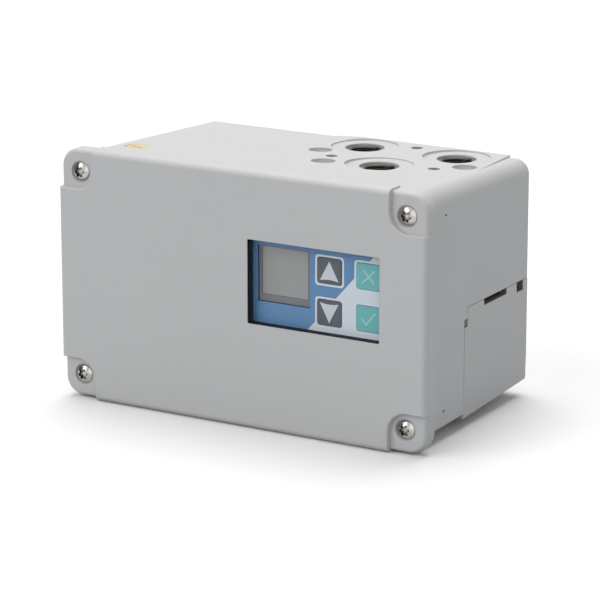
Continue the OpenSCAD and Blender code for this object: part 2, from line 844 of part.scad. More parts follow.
module terminal_strip() {
    color([0.20, 0.45, 0.28]) difference() {
        box(terminal_x0, board_y - 5.6, terminal_z - 6, terminal_n * terminal_pitch, 5.6, 12);
        for (i = [0:terminal_n - 1]) {
            x = terminal_x0 + terminal_pitch * (i + 0.5);
            rod_y(x, board_y - 6, terminal_z + 2, 4, 2.1);
            box(x - 1.8, board_y - 4.2, terminal_z - 7, 3.6, 3.2, 5);
        }
    }
}

module terminal_screws() {
    color(steel)
        for (i = [0:terminal_n - 1])
            translate([terminal_x0 + terminal_pitch * (i + 0.5), board_y - 4.4, terminal_z + 2])
                slot_screw(1.2, 1.2, 1.9, 1.2);
}

module electronics_cover() {
    x0 = -board_x + board_edge;
    x1 = window_x - panel_w / 2 - 6.7;
    color([0.12, 0.12, 0.13]) translate([(x0 + x1) / 2, 0, mid_z + 8]) difference() {
        soft_plate(x1 - x0, 36, 3, 1.2, board_y - 5.6, 5.6);
        slab(board_y - 4, 10) rounded_rect(x1 - x0 - 4, 32, 2);
    }
}

module port_inserts() {
    color(brass)
        for (p = ports)
            difference() {
                rod_z(p[0], p[1], seat_z(p) - insert_lip - insert_len, insert_len, insert_r);
                rod_z(p[0], p[1], 0, 200, port_r);
                translate([p[0], p[1], seat_z(p) - insert_lip - insert_lead])
                    cylinder(h = insert_lead + eps, r1 = port_r, r2 = port_r + insert_lead + eps);
            }
}

module manifold_plan(inset) {
    translate([manifold_x[0] + inset, manifold_y[0] + inset])
        square([manifold_x[1] - manifold_x[0] - 2 * inset, manifold_y[1] - manifold_y[0] - 2 * inset]);
}

module manifold_block() {
    color([0.66, 0.67, 0.69]) difference() {
        translate([0, 0, manifold_z1 - manifold_h]) linear_extrude(manifold_h) manifold_plan(0);
        for (p = ports)
            rod_z(p[0], p[1], manifold_z1 - 10, 20, 4);
        for (p = manifold_screw_xy)
            rod_z(p[0], p[1], 0, 200, m4_r + 0.25);
        for (x = valve_x)
            rod_y(x, manifold_y[0] - 1, manifold_z1 - 5, 12, 2);
    }
}

module manifold_gasket() {
    color(black) translate([0, 0, manifold_z1]) linear_extrude(gasket_plate_t) difference() {
        manifold_plan(1.5);
        for (p = ports)
            translate(p) circle(4.4);
        for (p = manifold_screw_xy)
            translate(p) circle(m4_r + 0.3);
    }
}

module manifold_screws() {
    color(steel)
        for (p = manifold_screw_xy)
            translate([p[0], p[1], manifold_z1 - manifold_h - 4]) rotate([90, 0, 0])
                slot_screw(m4_r, manifold_h + 9, 3.5, 4);
}

// Two pilot valves on the front of the manifold
module pilot_valves() {
    color([0.20, 0.21, 0.24])
        for (x = valve_x)
            difference() {
                union() {
                    box(x - 8, manifold_y[0] - 16, manifold_z1 - manifold_h + 1, 16, 16, manifold_h - 2);
                    rod_y(x, manifold_y[0] - 21, manifold_z1 - manifold_h / 2, 6, 5);
                }
                rod_y(x, manifold_y[0] - 6, manifold_z1 - 5, 12, 2);
            }
}

module feedback_shaft() {
    color(steel) difference() {
        union() {
            rod_y(shaft_x, gear_y - 6, shaft_z, overall_y - gear_y + 6, shaft_r);
            rod_y(shaft_x, gear_y - 6, shaft_z, base_y - gear_y + 6, journal_r);
            rod_y(shaft_x, gear_y + gear_face + 0.2, shaft_z, 2, journal_r + 1.6);
        }
        box(shaft_x - 10, overall_y - shaft_flat_len, shaft_z + shaft_r - shaft_flat, 20, 20, 10);
    }
}

module shaft_bush() {
    color(brass) difference() {
        union() {
            rod_y(shaft_x, inner_back - 4, shaft_z, base_y - seal_t - inner_back + 3.6, bush_r);
            rod_y(shaft_x, inner_back - 4 - bush_flange_t, shaft_z, bush_flange_t, bush_flange_r);
        }
        rod_y(shaft_x, 0, shaft_z, 200, journal_r + shaft_clear);
    }
}

module shaft_seal() {
    color(black) difference() {
        rod_y(shaft_x, base_y - seal_t, shaft_z, seal_t - 0.2, bush_r);
        rod_y(shaft_x, 0, shaft_z, 200, journal_r + shaft_clear);
    }
}

module retaining_ring() {
    color(steel) difference() {
        rod_y(shaft_x, gear_y - 5.2, shaft_z, 0.8, journal_r + 2.2);
        rod_y(shaft_x, 0, shaft_z, 200, journal_r + 0.02);
        box(shaft_x - 1.4, 0, shaft_z - 20, 2.8, 200, 20);
    }
}

module shaft_gear() {
    color([0.86, 0.85, 0.80]) difference() {
        translate([shaft_x, gear_y + gear_face, shaft_z]) rotate([90, 90, 0])
            linear_extrude(gear_face) gear_2d(gear_module, gear_teeth, 0.1);
        rod_y(shaft_x, 0, shaft_z, 200, journal_r + 0.02);
        for (a = [30:60:330])
            rotate_about(shaft_x, shaft_z, a)
                rod_y(shaft_x + gear_pitch_r * 0.6, 0, shaft_z, 200, 2.6);
    }
}

module rotate_about(x, z, a) {
    translate([x, 0, z]) rotate([0, a, 0]) translate([-x, 0, -z]) children();
}

// Knurled wheel that clamps the gear to the shaft
module clutch_wheel() {
    color([0.90, 0.75, 0.20]) difference() {
        rod_y(shaft_x, gear_y - 4.2, shaft_z, 4.2, 11);
        rod_y(shaft_x, 0, shaft_z, 200, journal_r + 0.02);
        for (a = [0:20:340])
            rotate_about(shaft_x, shaft_z, a)
                rod_y(shaft_x + 11.4, 0, shaft_z, 200, 1);
    }
}

module potentiometer() {
    color([0.15, 0.30, 0.50]) difference() {
        union() {
            rod_y(pinion_x, bracket_y - pot_len, pinion_z, pot_len, pot_r);
            rod_y(pinion_x, bracket_y, pinion_z, bracket_t + 0.8, 4.6);
            box(pinion_x - 5, bracket_y - pot_len + 1, pinion_z - 12, 10, 4, 6);
        }
        rod_y(pinion_x, bracket_y - 8, pinion_z, 40, spindle_r + shaft_clear);
    }
}

module potentiometer_bracket() {
    color(steel) slab(bracket_y, bracket_t) difference() {
        union() {
            translate([pinion_x - post_x - 5, pinion_z - post_dz - 5]) square([2 * post_x + 10, 10]);
            translate([pinion_x - 9, pinion_z - post_dz - 5]) square([18, post_dz + 12]);
        }
        translate([pinion_x, pinion_z]) circle(4.7);
        for (s = [-1, 1])
            translate([pinion_x + s * post_x, pinion_z - post_dz]) circle(1.7);
    }
}

module bracket_screws() {
    color(steel)
        for (s = [-1, 1])
            translate([pinion_x + s * post_x, bracket_y - 2, pinion_z - post_dz])
                slot_screw(1.5, 8, 2.8, 2);
}

// Pinion on the spindle of the position sensor, in mesh with the shaft gear
module potentiometer_pinion() {
    color([0.86, 0.85, 0.80]) {
        translate([pinion_x, gear_y + gear_face, pinion_z]) rotate([90, 90 + 180 / pinion_teeth, 0])
            linear_extrude(gear_face) gear_2d(gear_module, pinion_teeth, 0.1);
        rod_y(pinion_x, bracket_y - 6, pinion_z, gear_y + gear_face - bracket_y + 7, spindle_r);
    }
}

module exhaust_cover() {
    color(housing_grey) exhaust_shape(0, exhaust_t, 0);
}

module silencer() {
    color([0.55, 0.50, 0.40]) translate([half_w(68), 68, silencer_z]) rotate([0, 0, wall_angle])
        box(-chamber_depth, -10, -6, chamber_depth - exhaust_t, 20, 12);
}

// Blanking plug in the lower cable entry
module cable_plug() {
    color(black) difference() {
        union() {
            rod_x(plug_x, entry_y, entry_z[1], 11.5, entry_r - fit);
            translate([plug_x - plug_head, entry_y, entry_z[1]]) rotate([0, 90, 0])
                cylinder(h = plug_head, r = 12.6, $fn = 6);
        }
        rod_x(-half_w(entry_y) + 1, entry_y, entry_z[1], 40, entry_r - 2);
    }
}

module plug_seal() {
    color([0.10, 0.10, 0.10]) difference() {
        rod_x(plug_x, entry_y, entry_z[1], plug_seal_t, 12);
        rod_x(-100, entry_y, entry_z[1], 60, entry_r);
    }
}

module marker_plug() {
    color([0.95, 0.83, 0.45]) difference() {
        rod_z(marker_xy[0], marker_xy[1], top_z(marker_xy[1]) - base_wall - 2, base_wall + 1.8, marker_r);
        box(marker_xy[0] - 2.4, marker_xy[1] - 0.45, top_z(marker_xy[1]) - 0.9, 4.8, 0.9, 2);
    }
}

module mount_inserts() {
    color(brass)
        for (p = mount_places)
            difference() {
                rod_y(p[0], base_y - mount_insert_len, p[1], mount_insert_len, mount_insert_r);
                rod_y(p[0], 0, p[1], 200, mount_r);
            }
}

module earth_screw() {
    color(steel) translate([-half_w(26) - 2.7, 26, 30]) rotate([0, 0, -90])
        slot_screw(m4_r, 8, m4_head_r, 2.6);
}

place() base_housing();
place() front_cover();
place() cover_gasket();
place() cover_screws();
place() window_pane();
place() window_seal();
place() keypad_panel();
place() keypad_film();
place() display_module();
place() display_glass();
place() key_up();
place() key_down();
place() key_back();
place() key_enter();
place() key_domes();
place() main_board();
place() board_standoffs();
place() board_screws();
place() terminal_strip();
place() terminal_screws();
place() electronics_cover();
place() port_inserts();
place() manifold_block();
place() manifold_gasket();
place() manifold_screws();
place() pilot_valves();
place() feedback_shaft();
place() shaft_bush();
place() shaft_seal();
place() retaining_ring();
place() shaft_gear();
place() clutch_wheel();
place() potentiometer();
place() potentiometer_bracket();
place() bracket_screws();
place() potentiometer_pinion();
place() exhaust_cover();
place() silencer();
place() cable_plug();
place() plug_seal();
place() marker_plug();
place() mount_inserts();
place() earth_screw();
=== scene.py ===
"""Looks of an electropneumatic valve positioner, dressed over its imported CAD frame."""

import logging
import math
from dataclasses import dataclass, field
from enum import Enum
from typing import Callable, Optional, Sequence, Union

import bmesh
import bpy
from mathutils import Matrix, Vector


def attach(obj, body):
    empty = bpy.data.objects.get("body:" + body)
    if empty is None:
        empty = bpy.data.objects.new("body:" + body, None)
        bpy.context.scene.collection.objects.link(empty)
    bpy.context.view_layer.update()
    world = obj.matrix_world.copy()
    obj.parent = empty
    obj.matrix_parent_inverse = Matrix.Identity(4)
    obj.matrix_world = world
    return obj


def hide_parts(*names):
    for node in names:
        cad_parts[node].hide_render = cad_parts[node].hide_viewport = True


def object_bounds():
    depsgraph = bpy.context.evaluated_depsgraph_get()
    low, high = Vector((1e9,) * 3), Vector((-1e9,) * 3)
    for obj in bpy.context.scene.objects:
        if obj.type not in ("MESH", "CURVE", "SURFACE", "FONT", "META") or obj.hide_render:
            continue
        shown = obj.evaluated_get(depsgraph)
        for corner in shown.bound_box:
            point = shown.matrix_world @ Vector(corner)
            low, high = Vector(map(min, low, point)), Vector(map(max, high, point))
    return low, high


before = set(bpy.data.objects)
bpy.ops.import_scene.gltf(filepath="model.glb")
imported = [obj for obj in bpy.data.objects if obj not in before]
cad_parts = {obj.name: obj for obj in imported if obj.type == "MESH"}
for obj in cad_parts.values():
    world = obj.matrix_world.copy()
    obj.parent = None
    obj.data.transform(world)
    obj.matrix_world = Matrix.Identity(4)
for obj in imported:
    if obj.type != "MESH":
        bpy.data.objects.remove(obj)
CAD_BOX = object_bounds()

LOG = logging.getLogger("positioner")
MM = 0.001
FRONT = round(CAD_BOX[0][1], 6)
# Name of the mesh value that holds how much painted shade a place takes, deepest in holes, sockets, bores and
# slots.
PAINTED_SHADE_NAME = "recess"
HOUSING_BODY = "housing"
Number = Union[float, "Field"]
Links = dict[Union[str, int], object]
Finish = Union["MouldedPlastic", "Metal", "ClearPane", "PrintedFilm"]
Colour = tuple[float, float, float, float]
Point = tuple[float, float, float]
Flat = tuple[float, float]


def srgb(red: int, green: int, blue: int) -> Colour:
    """Turns a screen colour into the linear colour that a shader takes.

    Args:
        red: Red, from 0 to 255.
        green: Green, from 0 to 255.
        blue: Blue, from 0 to 255.

    Returns:
        The linear colour with full opacity.
    """
    parts = [c / 255 for c in (red, green, blue)]
    linear = [c / 12.92 if c <= 0.04045 else ((c + 0.055) / 1.055) ** 2.4 for c in parts]
    return (linear[0], linear[1], linear[2], 1.0)


class Slot(Enum):
    """Material slots of the record."""

    HOUSING = "housing"
    SEAL = "seal"
    STAINLESS = "stainless"
    PANE = "clear_pane"
    PANEL = "panel"
    FILM = "film"
    BEZEL = "bezel"
    DISPLAY = "display"
    DARK_KEY = "dark_key"
    TEAL_KEY = "teal_key"
    BOARD = "board"
    BRASS = "brass"
    TERMINAL = "terminal"
    BLACK = "black_plastic"
    MANIFOLD = "manifold"
    GEAR = "gear"
    YELLOW = "yellow"
    SENSOR = "sensor"
    SILENCER = "silencer"


class Axis(Enum):
    """Direction in which an insert's mouth points."""

    UP = (0.0, 0.0, 0.0)
    BACK = (-math.pi / 2, 0.0, 0.0)
    LEFT = (0.0, -math.pi / 2, 0.0)


class Field:
    """A node socket that takes part in arithmetic, so that a tree reads as a formula."""

    def __init__(self, tree: bpy.types.NodeTree, socket: bpy.types.NodeSocket) -> None:
        """Keeps the tree and the socket that carries the value."""
        self.tree = tree
        self.socket = socket

    def math(self, operation: str, *others: Number) -> "Field":
        """Adds a Math node.

        Args:
            operation: Name of the Math operation.
            others: Second and third operands.

        Returns:
            The result as a field.
        """
        node = self.tree.nodes.new("ShaderNodeMath")
        node.operation = operation
        for place, value in enumerate((self, *others)):
            if isinstance(value, Field):
                self.tree.links.new(value.socket, node.inputs[place])
            else:
                node.inputs[place].default_value = value
        return Field(self.tree, node.outputs[0])

    def __add__(self, other: Number) -> "Field":
        """Sum of two values."""
        return self.math("ADD", other)

    def __sub__(self, other: Number) -> "Field":
        """Difference of two values."""
        return self.math("SUBTRACT", other)

    def __rsub__(self, other: float) -> "Field":
        """A number less this value."""
        return self.math("MULTIPLY_ADD", -1.0, other)

    def __mul__(self, other: Number) -> "Field":
        """Product of two values."""
        return self.math("MULTIPLY", other)

    def __truediv__(self, other: Number) -> "Field":
        """Quotient of two values."""
        return self.math("DIVIDE", other)

    def clamp(self) -> "Field":
        """The value held between 0 and 1."""
        return self.math("MINIMUM", 1.0).math("MAXIMUM", 0.0)


class Tree:
    """A node group under construction, for geometry or for shaders."""

    def __init__(self, name: str, kind: str) -> None:
        """Makes the group and its two end nodes.

        Args:
            name: Name of the group.
            kind: GeometryNodeTree or ShaderNodeTree.
        """
        self.group = bpy.data.node_groups.new(name, kind)
        self.inlet = self.group.nodes.new("NodeGroupInput")
        self.outlet = self.group.nodes.new("NodeGroupOutput")

    def input(self, name: str, kind: str, value: object = None) -> Field:
        """Adds a named input.

        Args:
            name: Name of the socket.
            kind: Socket type after NodeSocket.
            value: Value it starts with.

        Returns:
            The input as a field.
        """
        made = self.group.interface.new_socket(name=name, in_out="INPUT", socket_type=f"NodeSocket{kind}")
        if value is not None:
            made.default_value = value
        return Field(self.group, self.inlet.outputs[name])

    def output(self, name: str, kind: str, value: Union[Field, bpy.types.NodeSocket]) -> None:
        """Adds a named output and joins it to a value.

        Args:
            name: Name of the socket.
            kind: Socket type after NodeSocket.
            value: Field or socket that it gives.
        """
        self.group.interface.new_socket(name=name, in_out="OUTPUT", socket_type=f"NodeSocket{kind}")
        socket = value.socket if isinstance(value, Field) else value
        self.group.links.new(socket, self.outlet.inputs[name])

    def node(self, kind: str, links: Optional[Links] = None, **values: object) -> bpy.types.Node:
        """Adds a node.

        Args:
            kind: Type of the node.
            links: Values or fields by input name.
            values: Properties to set on the node.

        Returns:
            The node.
        """
        made = self.group.nodes.new(kind)
        for name, value in values.items():
            setattr(made, name, value)
        for name, value in (links or {}).items():
            if isinstance(value, Field):
                self.group.links.new(value.socket, made.inputs[name])
            elif isinstance(value, bpy.types.NodeSocket):
                self.group.links.new(value, made.inputs[name])
            else:
                made.inputs[name].default_value = value
        return made

    def field(self, socket: bpy.types.NodeSocket) -> Field:
        """Wraps an output socket of this tree."""
        return Field(self.group, socket)


class Effects:
    """Shader groups that several finishes share."""

    def __init__(self) -> None:
        """Builds each group once."""
        self.grain = self._grain()
        self.tone = self._tone()
        self.dust = self._dust()
        self.frame_mask = self._frame_mask()

    def _grain(self) -> bpy.types.NodeTree:
        """Height and roughness of a moulded or blasted skin.

        Returns:
            The finished group.
        """
        tree = Tree("moulded_grain", "ShaderNodeTree")
        size = tree.input("Grain Size", "Float", 0.0004)
        rough = tree.input("Roughness", "Float", 0.5)
        spread = tree.input("Spread", "Float", 0.08)
        place = tree.node("ShaderNodeTexCoord").outputs["Object"]
        scale = size.math("POWER", -1.0)
        fine = tree.node("ShaderNodeTexNoise", {
            "Vector": place, "Scale": scale, "Detail": 3.0, "Roughness": 0.6})
        broad = tree.node("ShaderNodeTexNoise", {"Vector": place, "Scale": 45.0, "Detail": 4.0})
        mixed = (tree.field(broad.outputs["Fac"]) - 0.5) * spread + rough
        tree.output("Height", "Float", fine.outputs["Fac"])
        tree.output("Roughness", "Float", mixed.clamp())
        return tree.group

    def _tone(self) -> bpy.types.NodeTree:
        """A colour that varies a little over the surface.

        Returns:
            The finished group.
        """
        tree = Tree("colour_drift", "ShaderNodeTree")
        colour = tree.input("Colour", "Color", (0.5, 0.5, 0.5, 1.0))
        amount = tree.input("Amount", "Float", 0.05)
        size = tree.input("Scale", "Float", 30.0)
        place = tree.node("ShaderNodeTexCoord").outputs["Object"]
        noise = tree.node("ShaderNodeTexNoise", {
            "Vector": place, "Scale": size, "Detail": 5.0, "Roughness": 0.55})
        level = (tree.field(noise.outputs["Fac"]) - 0.5) * amount + 1.0
        tinted = tree.node("ShaderNodeVectorMath", {0: colour.socket}, operation="SCALE")
        tree.group.links.new(level.socket, tinted.inputs["Scale"])
        tree.output("Colour", "Color", tinted.outputs[0])
        return tree.group

    def _dust(self) -> bpy.types.NodeTree:
        """Pale dust that settles on faces that look up.

        Returns:
            The finished group.
        """
        tree = Tree("settled_dust", "ShaderNodeTree")
        colour = tree.input("Colour", "Color", (0.5, 0.5, 0.5, 1.0))
        dust = tree.input("Dust", "Color", srgb(214, 210, 202))
        amount = tree.input("Amount", "Float", 0.1)
        normal = tree.node("ShaderNodeNewGeometry").outputs["Normal"]
        up = tree.node("ShaderNodeSeparateXYZ", {0: normal})
        place = tree.node("ShaderNodeTexCoord").outputs["Object"]
        noise = tree.node("ShaderNodeTexNoise", {
            "Vector": place, "Scale": 260.0, "Detail": 6.0, "Roughness": 0.7})
        facing = (tree.field(up.outputs["Z"]) - 0.3).clamp()
        share = facing * tree.field(noise.outputs["Fac"]) * amount
        mix = tree.node("ShaderNodeMix", data_type="RGBA")
        tree.group.links.new(share.socket, mix.inputs[0])
        tree.group.links.new(colour.socket, mix.inputs[6])
        tree.group.links.new(dust.socket, mix.inputs[7])
        tree.output("Colour", "Color", mix.outputs[2])
        return tree.group

    def _frame_mask(self) -> bpy.types.NodeTree:
        """Mask of a printed field with round corners around a key, in x and z.

        Returns:
            The finished group.
        """
        tree = Tree("key_outline", "ShaderNodeTree")
        across = tree.input("Middle X", "Float", 0.0)
        up = tree.input("Middle Z", "Float", 0.0)
        reach_x = tree.input("Reach X", "Float", 0.006)
        reach_z = tree.input("Reach Z", "Float", 0.006)
        corner = tree.input("Corner", "Float", 0.0014)
        point = tree.node("ShaderNodeTexCoord").outputs["Object"]
        place = tree.node("ShaderNodeSeparateXYZ", {0: point})
        dx = (tree.field(place.outputs["X"]) - across).math("ABSOLUTE") - (reach_x - corner)
        dz = (tree.field(place.outputs["Z"]) - up).math("ABSOLUTE") - (reach_z - corner)
        far_x = dx.math("MAXIMUM", 0.0)
        far_z = dz.math("MAXIMUM", 0.0)
        away = (far_x * far_x + far_z * far_z).math("SQRT")
        tree.output("Mask", "Float", away.math("LESS_THAN", corner))
        return tree.group


EFFECTS = Effects()


class Shader:
    """A material with one Principled shader, wired step by step."""

    def __init__(self, name: str) -> None:
        """Makes the material and finds its shader.

        Args:
            name: Name of the material.
        """
        self.material = bpy.data.materials.new(name)
        self.material.use_nodes = True
        self.nodes = self.material.node_tree.nodes
        self.links = self.material.node_tree.links
        self.bsdf = next(n for n in self.nodes if n.type == "BSDF_PRINCIPLED")

    def group(self, tree: bpy.types.NodeTree, **values: object) -> bpy.types.Node:
        """Places a shared effect.

        Args:
            tree: Group of the effect.
            values: Values or sockets by input name, where an underscore stands for a space.

        Returns:
            The group node.
        """
        made = self.nodes.new("ShaderNodeGroup")
        made.node_tree = tree
        for name, value in values.items():
            socket = made.inputs[name.replace("_", " ")]
            if isinstance(value, bpy.types.NodeSocket):
                self.links.new(value, socket)
            else:
                socket.default_value = value
        return made

    def set(self, name: str, value: object) -> None:
        """Sets or joins an input of the shader.

        Args:
            name: Name of the input.
            value: Plain value or socket.
        """
        if isinstance(value, bpy.types.NodeSocket):
            self.links.new(value, self.bsdf.inputs[name])
        else:
            self.bsdf.inputs[name].default_value = value

    def attribute(self, name: str) -> bpy.types.NodeSocket:
        """Reads a value that the mesh carries, which is 0 where it carries none.

        Args:
            name: Name of the attribute.

        Returns:
            The value's socket.
        """
        made = self.nodes.new("ShaderNodeAttribute")
        made.attribute_name = name
        return made.outputs["Fac"]

    def blend(self, share: bpy.types.NodeSocket, low: object, high: object) -> bpy.types.NodeSocket:
        """Mixes two colours by a mask.

        Args:
            share: Mask, 0 for the first colour and 1 for the second.
            low: First colour or socket.
            high: Second colour or socket.

        Returns:
            The mixed colour.
        """
        mix = self.nodes.new("ShaderNodeMix")
        mix.data_type = "RGBA"
        self.links.new(share, mix.inputs[0])
        for place, value in ((6, low), (7, high)):
            if isinstance(value, bpy.types.NodeSocket):
                self.links.new(value, mix.inputs[place])
            else:
                mix.inputs[place].default_value = value
        return mix.outputs[2]

    def surface(self, finish: Finish, colour: object) -> tuple[bpy.types.NodeSocket, bpy.types.NodeSocket]:
        """Places the grain and the drift of tone that every finish has, and sets the roughness.

        Args:
            finish: Finish that gives the values.
            colour: Colour or socket that the drift works on.

        Returns:
            The colour after the drift, and the height of the grain.
        """
        skin = self.group(EFFECTS.grain, Grain_Size=finish.grain, Roughness=finish.roughness,
                          Spread=finish.spread)
        tone = self.group(EFFECTS.tone, Colour=colour, Amount=finish.drift, Scale=finish.blotches)
        self.set("Roughness", skin.outputs["Roughness"])
        return tone.outputs["Colour"], skin.outputs["Height"]

    def relief(self, height: bpy.types.NodeSocket, depth: float, strength: float, edge: float) -> None:
        """Joins a bump, over softened edges where an edge radius is given.

        Args:
            height: Socket with the height pattern.
            depth: Depth of the pattern in metres.
            strength: Strength of the bump.
            edge: Radius by which edges look softened, or 0.
        """
        bump = self.nodes.new("ShaderNodeBump")
        bump.inputs["Strength"].default_value = strength
        bump.inputs["Distance"].default_value = depth
        self.links.new(height, bump.inputs["Height"])
        if edge:
            soft = self.nodes.new("ShaderNodeBevel")
            soft.samples = 6
            soft.inputs["Radius"].default_value = edge
            self.links.new(soft.outputs["Normal"], bump.inputs["Normal"])
        self.set("Normal", bump.outputs["Normal"])


@dataclass(frozen=True)
class MouldedPlastic:
    """Moulded plastic with a fine grain and a little drift of tone."""

    name: str
    colour: Colour
    roughness: float = 0.5
    grain: float = 0.35 * MM
    depth: float = 0.03 * MM
    drift: float = 0.05
    dust: float = 0.0
    edge: float = 0.0
    gloss: float = 0.5
    # Colour of the painted shade in hollows, where the mesh carries a share of it.
    painted_shade: Optional[Colour] = None
    spread: float = 0.12
    blotches: float = 28.0
    bump: float = 0.35

    def build(self) -> bpy.types.Material:
        """Makes the material, with painted shade where the mesh carries a share of it.

        Returns:
            The material.
        """
        shader = Shader(self.name)
        colour, height = shader.surface(self, self.colour)
        # Painted shade: hollows darken towards this colour by the share that the mesh stores.
        if self.painted_shade:
            colour = shader.blend(shader.attribute(PAINTED_SHADE_NAME), colour, self.painted_shade)
        if self.dust:
            colour = shader.group(EFFECTS.dust, Colour=colour, Amount=self.dust).outputs["Colour"]
        shader.set("Base Color", colour)
        shader.set("Specular IOR Level", self.gloss)
        shader.relief(height, self.depth, self.bump, self.edge)
        return shader.material


@dataclass(frozen=True)
class Metal:
    """Machined or polished metal with fine tool marks."""

    name: str
    colour: Colour
    roughness: float = 0.25
    grain: float = 0.2 * MM
    depth: float = 0.01 * MM
    edge: float = 0.0
    # Colour of the painted shade deep in sockets and bores.
    painted_shade: Colour = srgb(52, 49, 45)
    drift: float = 0.08
    spread: float = 0.1
    blotches: float = 120.0
    bump: float = 0.2

    def build(self) -> bpy.types.Material:
        """Makes the material, with painted shade where the mesh carries a share of it.

        Returns:
            The material.
        """
        shader = Shader(self.name)
        colour, height = shader.surface(self, self.colour)
        # Painted shade: sockets and bores darken towards the shade colour by the stored share.
        shader.set("Base Color", shader.blend(shader.attribute(PAINTED_SHADE_NAME), colour, self.painted_shade))
        shader.set("Metallic", 1.0)
        shader.relief(height, self.depth, self.bump, self.edge)
        return shader.material


@dataclass(frozen=True)
class ClearPane:
    """Clear plastic pane that lets light through and keeps a soft gloss."""

    name: str = "clear_window"
    colour: Colour = (0.03, 0.09, 0.20, 1.0)
    opacity: float = 0.03
    roughness: float = 0.06
    grain: float = 3 * MM
    spread: float = 0.05
    drift: float = 0.03
    blotches: float = 15.0

    def build(self) -> bpy.types.Material:
        """Makes the material.

        Returns:
            The material.
        """
        shader = Shader(self.name)
        shader.set("Base Color", shader.surface(self, self.colour)[0])
        shader.set("Alpha", self.opacity)
        return shader.material


@dataclass(frozen=True)
class PrintedFilm:
    """Keypad film in two colours that meet on a slanted line, with a pale line around each key."""

    keys: tuple[Flat, ...]
    reach: Flat
    name: str = "printed_film"
    blue: Colour = srgb(101, 147, 192)
    pale: Colour = srgb(230, 239, 246)
    line: Colour = srgb(236, 241, 248)
    slant_x: float = 29.2 * MM
    slant_z: float = 42.1 * MM
    slope: float = 1.122
    roughness: float = 0.42
    grain: float = 0.3 * MM
    depth: float = 0.01 * MM
    spread: float = 0.08
    drift: float = 0.05
    blotches: float = 60.0
    bump: float = 0.3

    def build(self) -> bpy.types.Material:
        """Makes the material.

        Returns:
            The material.
        """
        shader = Shader(self.name)
        tree = shader.material.node_tree
        split = shader.nodes.new("ShaderNodeSeparateXYZ")
        shader.links.new(shader.nodes.new("ShaderNodeTexCoord").outputs["Object"], split.inputs[0])
        across = Field(tree, split.outputs["X"])
        up = Field(tree, split.outputs["Z"])
        side = (up - self.slant_z) - (across - self.slant_x) * self.slope
        colour = shader.blend(side.math("GREATER_THAN", 0.0).socket, self.pale, self.blue)
        reach_x, reach_z = self.reach
        for x, z in self.keys:
            mask = shader.group(EFFECTS.frame_mask, Middle_X=x, Middle_Z=z, Reach_X=reach_x, Reach_Z=reach_z)
            colour = shader.blend(mask.outputs["Mask"], colour, self.line)
        colour, height = shader.surface(self, colour)
        shader.set("Base Color", colour)
        shader.relief(height, self.depth, self.bump, 0.0)
        return shader.material


FINISHES: dict[Slot, Callable[[], bpy.types.Material]] = {
    # Housing grey, with a dark grey painted shade for its hollows.
    Slot.HOUSING: MouldedPlastic(
        "housing_grey", srgb(198, 198, 198), roughness=0.56, grain=0.4 * MM, depth=0.04 * MM, drift=0.035,
        dust=0.05, edge=0.4 * MM, painted_shade=srgb(70, 70, 72)).build,
    Slot.SEAL: MouldedPlastic(
        "black_rubber", srgb(12, 13, 16), roughness=0.72, grain=0.6 * MM, depth=0.04 * MM, drift=0.2,
        gloss=0.3).build,
    Slot.STAINLESS: Metal(
        "stainless", srgb(184, 181, 177), roughness=0.17, grain=0.3 * MM, depth=0.004 * MM,
        edge=0.1 * MM).build,
    Slot.PANE: ClearPane().build,
    Slot.PANEL: MouldedPlastic("dark_panel", srgb(46, 48, 50), roughness=0.6).build,
    Slot.BEZEL: MouldedPlastic(
        "display_frame", srgb(130, 131, 133), grain=0.3 * MM, depth=0.02 * MM, drift=0.06).build,
    Slot.DISPLAY: MouldedPlastic(
        "liquid_crystal", srgb(168, 168, 166), roughness=0.3, grain=0.2 * MM, depth=0.004 * MM,
        drift=0.08).build,
    Slot.DARK_KEY: MouldedPlastic(
        "dark_key", srgb(90, 97, 102), grain=0.3 * MM, depth=0.02 * MM, edge=0.2 * MM).build,
    Slot.TEAL_KEY: MouldedPlastic(
        "teal_key", srgb(118, 197, 197), grain=0.3 * MM, depth=0.02 * MM, edge=0.2 * MM).build,
    Slot.BOARD: MouldedPlastic(
        "solder_mask", srgb(24, 92, 58), roughness=0.35, grain=0.8 * MM, drift=0.25).build,
    Slot.BRASS: Metal(
        "nickelled_brass", srgb(156, 152, 144), roughness=0.28, grain=0.3 * MM, depth=0.008 * MM,
        edge=0.1 * MM).build,
    Slot.TERMINAL: MouldedPlastic("terminal_green", srgb(60, 128, 82), roughness=0.45).build,
    Slot.BLACK: MouldedPlastic(
        "black_plastic", srgb(30, 30, 32), grain=0.5 * MM, depth=0.04 * MM, drift=0.15, edge=0.3 * MM).build,
    Slot.MANIFOLD: Metal("machined_aluminium", srgb(188, 190, 194), roughness=0.34, edge=0.2 * MM).build,
    Slot.GEAR: MouldedPlastic("acetal", srgb(226, 223, 212), roughness=0.38).build,
    Slot.YELLOW: MouldedPlastic(
        "yellow_plastic", srgb(214, 193, 138), roughness=0.45, grain=0.4 * MM, depth=0.02 * MM, drift=0.06,
        edge=0.2 * MM).build,
    Slot.SENSOR: MouldedPlastic("sensor_blue", srgb(52, 92, 142), roughness=0.4).build,
    Slot.SILENCER: MouldedPlastic(
        "sintered", srgb(150, 138, 112), roughness=0.85, grain=0.9 * MM, depth=0.3 * MM, drift=0.3).build,
}


class Paints:
    """Makes each finish once, when it is first asked for."""

    def __init__(self) -> None:
        """Starts with nothing made."""
        self._made: dict[Slot, bpy.types.Material] = {}

    def put(self, slot: Slot, material: bpy.types.Material) -> None:
        """Keeps a finish that was made elsewhere."""
        self._made[slot] = material

    def __getitem__(self, slot: Slot) -> bpy.types.Material:
        """Finds the material of a slot.

        Args:
            slot: Material slot.

        Returns:
            The material, made now if it is new.
        """
        if slot not in self._made:
            self._made[slot] = FINISHES[slot]()
        return self._made[slot]


PAINTS = Paints()


